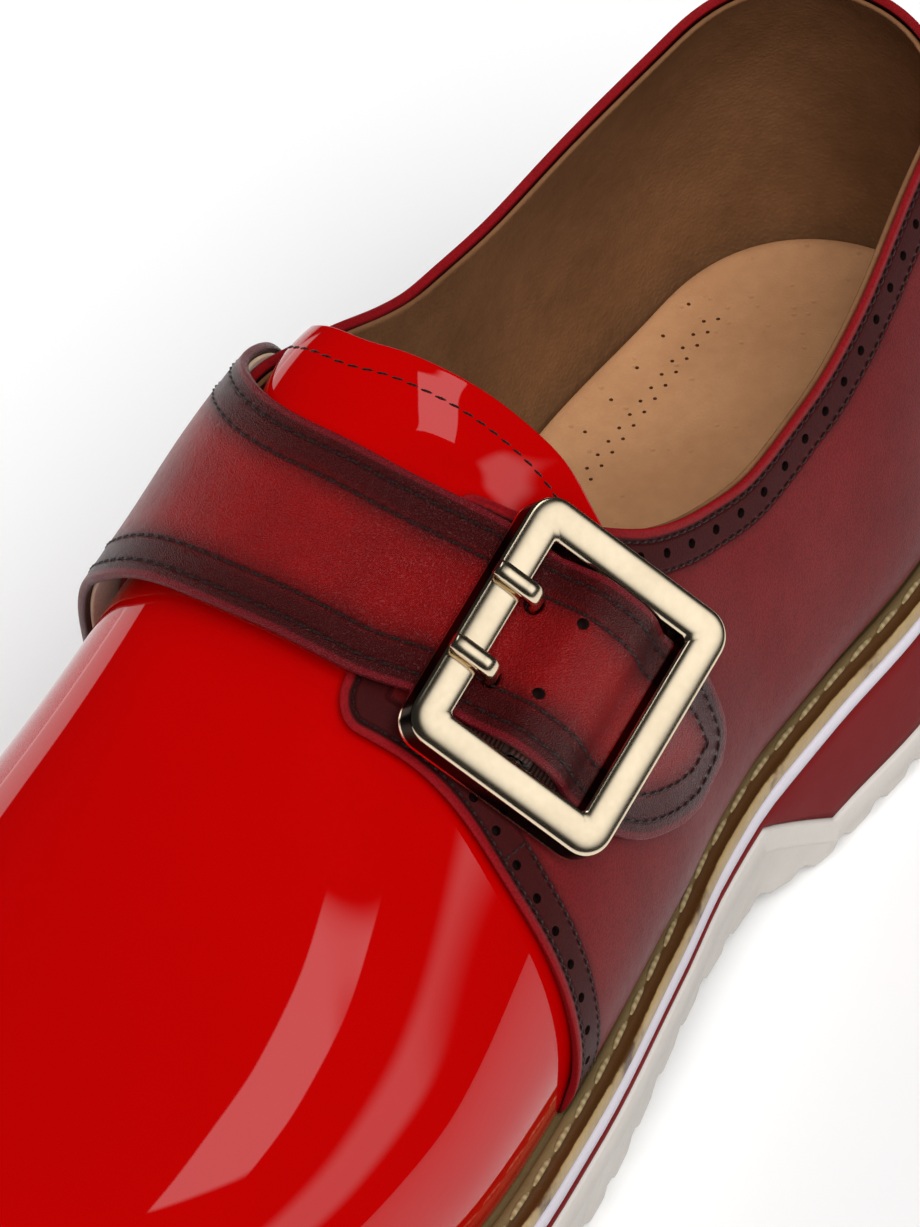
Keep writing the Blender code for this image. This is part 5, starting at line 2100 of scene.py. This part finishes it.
@dataclass
class Strap:
    """Strap over the instep, under the inner bar, over the centre bar and down to its round tip."""

    wardrobe: Wardrobe
    leather: float = 1.45
    backing: float = 0.6
    gap: float = 0.05
    rows: Pair = (2.5, 6.2)
    thread: Thread = Thread(2.05, 1.95, 0.18, 0.28)
    path: Curves = Curves(
        "station half_width lift",
        [
            (-1.70, 129.5, 21.5, 2.0), (-1.55, 132.4, 21.4, 2.1), (-1.40, 136.8, 19.4, 2.6),
            (-1.27, 142.2, 16.0, 2.9), (-1.12, 145.2, 13.4, 3.1), (-1.00, 146.4, 12.4, 3.1),
            (-0.85, 145.3, 12.3, 2.8), (-0.72, 142.5, 12.6, 2.2), (-0.62, 138.8, 13.6, 1.95),
            (-0.50, 134.2, 14.0, 1.95), (-0.36, 127.6, 14.5, 1.95), (-0.32, 125.3, 12.9, 1.95),
            (-0.285, 122.5, 10.2, 1.95), (-0.262, 120.8, 7.0, 1.95), (-0.248, 120.0, 3.6, 1.95),
        ],
    )
    over: tuple[float, ...] = (
        *(-1.70, -1.62, -1.54, -1.46, -1.38, -1.30, -1.22),
        *(-1.14, -1.06, -0.98, -0.90, -0.82, -0.75),
    )
    tip: tuple[float, ...] = (-0.36, -0.32, -0.285, -0.262, -0.248)
    hump: tuple[Pair, ...] = (
        (-13.8, -4.0), (-10.6, -3.7), (-7.2, -2.0), (-3.4, 1.9), (0.0, 2.0), (3.4, 1.6), (6.8, -0.6),
        (9.6, -3.6), (13.6, -4.7),
    )
    spare: tuple[Pair, ...] = ((-3.3, 6.0), (-3.6, -5.4))
    end_rows: tuple[tuple[int, int], ...] = ((3, 4), (5, 7))
    close_lift: float = 1.95
    hump_half: float = 13.4
    slot_at: float = -9.0
    slot: Pair = (1.35, 1.62)
    awl: Punch = Punch(0.8, 2.2, 20, "EXACT")

    def across_places(self, half: float) -> Array:
        """Distances from the centre line of the strap's columns, crowded at its edges.

        Args:
            half: Half of the strap's width.

        Returns:
            Shares of the half width, from 1 to -1.
        """
        edge = np.array([0.0, 0.45, 1.0, 1.7, 2.5, 3.4, 4.8])
        inner = half - edge
        middle = np.linspace(inner[-1], -inner[-1], 9)[1:-1]
        return join((inner, middle, -inner[::-1])) / half

    def on_shoe(self, across: float, shares: Array, lift: float) -> Array:
        """Row of points where the strap lies on the shoe.

        Args:
            across: Place along the strap.
            shares: Places across it, heelward edge -1.
            lift: Height above the strap's under face.

        Returns:
            The row.
        """
        station = self.path.at("station", across) + shares * self.path.at("half_width", across)
        v = 2 + across if across < -1 else -across
        side = 1 if across < -1 else -1
        v = 1.0 if v > 0.985 else v
        slack = self.path.at("lift", across) - self.close_lift
        above = lift + self.close_lift + slack * blend(shares, -1.0, 0.2)
        return LAST.skin(side, station, np.full_like(station, v), above)

    def surface_rows(self, lift: float, narrow: float = 0.0) -> Array:
        """Rows of points along the whole strap at a height above its under face.

        Args:
            lift: Height.
            narrow: How far the edges are drawn in.

        Returns:
            Rows by columns of points, evenly spaced along the strap.
        """

        def lying(across: float) -> Array:
            """Row on the shoe; near the tip the columns keep their spread as they close in.

            Args:
                across: Place along the strap.

            Returns:
                The row.
            """
            half = float(self.path.at("half_width", across))
            inner = max(half - narrow, 1.0)
            shares = self.across_places(max(inner, 8.0)) * inner / -half
            return self.on_shoe(across, shares, lift)

        inner = self.hump_half - narrow
        place = self.across_places(inner) * inner
        controls = [lying(across) for across in self.over]
        for along, out in self.hump:
            local = (np.full_like(place, along), place, np.full_like(place, out + lift))
            controls.append(PLACE.at(np.stack(local, -1)))
        controls += [lying(across) for across in self.tip]
        rows = np.array(controls)
        places = travelled(rows.mean(axis=1))
        count = int(places[-1] / 2.3)
        where = np.linspace(0, places[-1], count)
        where = np.sort(join((where, places[-1] - np.array([0.5, 1.2, 3.2]), [0.5, 1.2])))
        return spline(rows, places, where)

    def build(self) -> None:
        """Makes the strap, its backing, holes and stitches."""
        base = self.backing + self.gap
        rows = self.surface_rows(base + self.leather)
        inside = (-140, 0, 40)
        piece = Bench.sheet("strap_leather", rows, inside)
        Bench.smooth(Bench.thicken(piece, self.leather), 2)
        surface = tree_of(piece)
        rim = self.rim(surface, rows)
        sewn = [rim.inset(surface, distance, -1.0) for distance in self.rows]
        sewn += [Line.lay(surface, rows[row, edge : -edge - 1]) for row, edge in self.end_rows]
        self.punch(piece)
        Bench.write(piece, "edge", Bench.nearness(piece, join((rim.points, rows[0]))))
        Bench.done(piece, [self.wardrobe.strap, self.wardrobe.punched], "strap", "strap")
        backing = Bench.sheet("strap_backing", self.surface_rows(self.backing, 0.9), inside)
        Bench.smooth(Bench.thicken(backing, self.backing - self.gap), 1)
        self.slots(backing)
        Bench.done(backing, [self.wardrobe.felt], "strap", "strap")
        self.thread.sew("strap_stitches", sewn, self.wardrobe.thread, "strap")

    @staticmethod
    def rim(surface: BVHTree, rows: Array) -> Line:
        """Edge line round both sides and the tip, with the normals of the face beside it.

        Args:
            surface: Tree of the leather.
            rows: Rows of points that the leather was laid on.

        Returns:
            Evenly spaced line.
        """
        middle = rows[:, rows.shape[1] // 2]
        path = join((rows[:, 0], rows[-1, 1:-1], rows[::-1, -1]))
        back = np.tile(middle[-6], (rows.shape[1] - 2, 1))
        target = join((middle, back, middle[::-1]))
        inner = Line.lay(surface, path + unit(target - path) * 2.0)
        return Line(path, inner.normals).spaced(0.4).eased(12)

    def slots(self, piece: Piece) -> None:
        """Cuts the oval openings that the prongs rise through.

        Args:
            piece: Leather or backing.
        """
        buckle = Buckle(self.wardrobe)
        angles = turn(24)
        for place in buckle.prongs.values():
            x = self.slot_at + self.slot[0] * np.cos(angles)
            y = place + self.slot[1] * np.sin(angles)
            rings = [np.stack((x, y, np.full(24, out)), -1) for out in (-6.0, 4.0)]
            Bench.cut(piece, buckle.tube("opening", np.array(rings), False), "EXACT")

    def punch(self, piece: Piece) -> None:
        """Cuts the prongs' openings and the spare holes.

        Args:
            piece: Leather.
        """
        axes = PLACE.axes()
        above = np.array([PLACE.at((a, c, 9.0)) for a, c in self.spare])
        surface, down = tree_of(piece), Vector(-axes[2])
        landed = Line.met([surface.ray_cast(Vector(p), down) for p in in_frame(above)])
        holes = Line(landed.points, np.tile(axes[2], (len(above), 1)))
        self.slots(piece)
        Bench.pierce(piece, holes, self.awl)


@dataclass
class ElasticTab:
    """Ribbed elastic under the strap, looped round the centre bar."""

    wardrobe: Wardrobe
    half: float = 13.9
    lift: float = 2.9
    radii: Triple = (1.3, 2.1, 2.25)
    thickness: float = 0.95
    binding: float = 0.55
    strap: Curves = Strap.path

    def build(self) -> None:
        """Makes the band and its loop."""
        v = np.linspace(0.61, 0.455, 16)
        shares = np.linspace(-1, 1, 25)
        station = self.strap.at("station", -v)[:, None] + 0.4 + shares * self.half
        points = LAST.skin(-1, station, np.broadcast_to(v[:, None], station.shape), self.lift)
        piece = Bench.sheet("elastic_band", points, (-140, 0, 40))
        Bench.smooth(Bench.thicken(piece, self.thickness), 1)
        self.dress(piece)
        border = points[2:-2, 0] + PLACE.axes()[2] * 0.5
        angles = np.linspace(0, 2 * np.pi, 13)
        tangent = unit(np.gradient(border, axis=0))
        beside = unit(np.cross(tangent, PLACE.axes()[2]))
        above = np.cross(beside, tangent)
        circle = np.stack((np.cos(angles), np.sin(angles)), -1) * self.binding
        rings = border[:, None] + circle[:, :1] * beside[:, None] + circle[:, 1:] * above[:, None]
        binding = Bench.sheet("elastic_binding", rings, (0, 0, 0))
        Bench.edit(binding, lambda: bpy.ops.mesh.fill_holes(sides=0))
        Bench.edit(binding, lambda: bpy.ops.mesh.normals_make_consistent(inside=False))
        Bench.write(binding, "edge", np.full(len(binding.data.vertices), 1.0))
        Bench.done(binding, [self.wardrobe.strap], "strap", "elastic_tab")
        self.loop("elastic_loop_middle", -4.1, 3.5)
        self.loop("elastic_loop_front", -13.6, -8.3)

    def dress(self, piece: Piece) -> None:
        """Runs the ribs across the pull and hangs the piece."""
        Bench.write(piece, "along", Bench.corners(piece) @ PLACE.axes()[0])
        Bench.done(piece, [self.wardrobe.elastic], "elastic", "elastic_tab")

    def loop(self, name: str, low: float, high: float) -> None:
        """Elastic folded round the centre bar between two places across the strap."""
        self.dress(Buckle(self.wardrobe).sleeve(name, self.radii, low, high))


# ---- studio
@dataclass(frozen=True)
class Softbox:
    """Rectangular light at a direction from the buckle, dimmer towards its edges."""

    name: str
    direction: Triple
    distance: float
    size: Pair
    radiance: float
    feather: float = 0.3
    seen: bool = True

    def build(self, aim: Vector) -> None:
        """Hangs the light and turns it to the shoe.

        Args:
            aim: Point that it faces.
        """
        lamp = bpy.data.lights.new(self.name, "AREA")
        lamp.shape = "RECTANGLE"
        lamp.size, lamp.size_y = self.size
        lamp.energy = self.radiance * self.size[0] * self.size[1] * math.pi
        lamp.use_nodes = True
        n = Nodes(lamp.node_tree)
        place = n.add("SeparateXYZ", None, Vector=n.add("NewGeometry").outputs["Parametric"])
        strength = None
        for axis in ("X", "Y"):
            inner = n.math("SUBTRACT", 0.5, n.math("ABSOLUTE", n.math("SUBTRACT", place.outputs[axis], 0.5)))
            fade = n.ramp(inner, 0.0, self.feather)
            strength = fade if strength is None else n.times(strength, fade)
        n.feed(lamp.node_tree.nodes["Emission"].inputs["Strength"], strength)
        made = link(self.name, lamp)
        away = Vector(self.direction).normalized()
        made.location = aim + away * self.distance
        made.rotation_euler = away.to_track_quat("Z", "Y").to_euler()
        made.visible_glossy = self.seen


@dataclass
class Studio:
    """Floor, lights and camera."""

    floor_size: float = 6.0
    azimuth: float = 51.5
    elevation: float = 43.8
    roll: float = 4.9
    distance: float = 1322.5
    lens: float = 287.5
    target: Triple = (-135.0, -20.0, 77.2)
    nudge: Pair = (-5.13, 5.96)
    lights: tuple[Softbox, ...] = (
        Softbox("side_box", (0.156, -0.885, 0.438), 1.3, (0.74, 0.56), 1.3, 0.3),
        Softbox("top_box", (0.195, -0.35, 0.92), 0.42, (0.24, 0.13), 2.0, 0.04),
        Softbox("back_fill", (0.05, 0.72, 0.69), 1.0, (0.9, 0.7), 3.2, 0.3, False),
        Softbox("far_box", (0.0, 0.996, 0.09), 1.3, (1.3, 0.5), 1.5, 0.05),
    )
    sun_direction: Triple = (-0.4, -0.5, 0.8)
    sun_strength: float = 3.4
    sun_angle: float = 50.0
    ambience: float = 0.02

    def build(self) -> None:
        """Sets up the studio."""
        Bench.clear()
        bpy.ops.mesh.primitive_plane_add(size=self.floor_size)
        floor = bpy.context.object
        floor.name = "floor"
        floor.data.materials.append(Paper("studio_floor", 0.7).build())
        world = bpy.data.worlds.new("studio")
        world.use_nodes = True
        world.node_tree.nodes["Background"].inputs["Color"].default_value = (1, 1, 1, 1)
        world.node_tree.nodes["Background"].inputs["Strength"].default_value = self.ambience
        bpy.context.scene.world = world
        bpy.context.scene.view_settings.view_transform = "Standard"
        aim = Vector(in_frame(np.array(self.target)))
        for light in self.lights:
            light.build(aim)
        sun = bpy.data.lights.new("key", "SUN")
        sun.energy = self.sun_strength
        sun.angle = math.radians(self.sun_angle)
        made = link("key", sun)
        made.rotation_euler = Vector(self.sun_direction).to_track_quat("Z", "Y").to_euler()
        made.visible_glossy = False
        self.place_camera()

    def place_camera(self) -> None:
        """Camera at the shoe's three-quarter view from above."""
        a, e, r = (math.radians(d) for d in (self.azimuth, self.elevation, self.roll))
        right = Vector((math.cos(a), -math.sin(a), 0))
        up = Vector((math.sin(a) * math.sin(e), math.cos(a) * math.sin(e), math.cos(e)))
        back = right.cross(up)
        rolled = right * math.cos(r) - up * math.sin(r)
        upright = right * math.sin(r) + up * math.cos(r)
        place = Vector(self.target) + back * self.distance + rolled * self.nudge[0] + upright * self.nudge[1]
        camera = bpy.data.cameras.new("camera")
        camera.lens = self.lens
        camera.sensor_width = 36.0
        camera.clip_end = 50.0
        made = link("camera", camera)
        facing = Matrix((rolled, upright, back)).transposed().to_4x4()
        made.matrix_world = Matrix.Translation(Vector(in_frame(np.array(place)))) @ facing
        bpy.context.scene.camera = made


def main() -> None:
    """Builds the shoe and its studio."""
    logging.basicConfig(level=logging.INFO, format="%(message)s")
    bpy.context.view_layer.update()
    wardrobe = Wardrobe()
    SoleUnit(wardrobe).build()
    Upper(wardrobe).build()
    Tongue(wardrobe).build()
    Buckle(wardrobe).build()
    Strap(wardrobe).build()
    ElasticTab(wardrobe).build()
    Studio().build()
    Bench.clear()


if __name__ == "__main__":
    main()
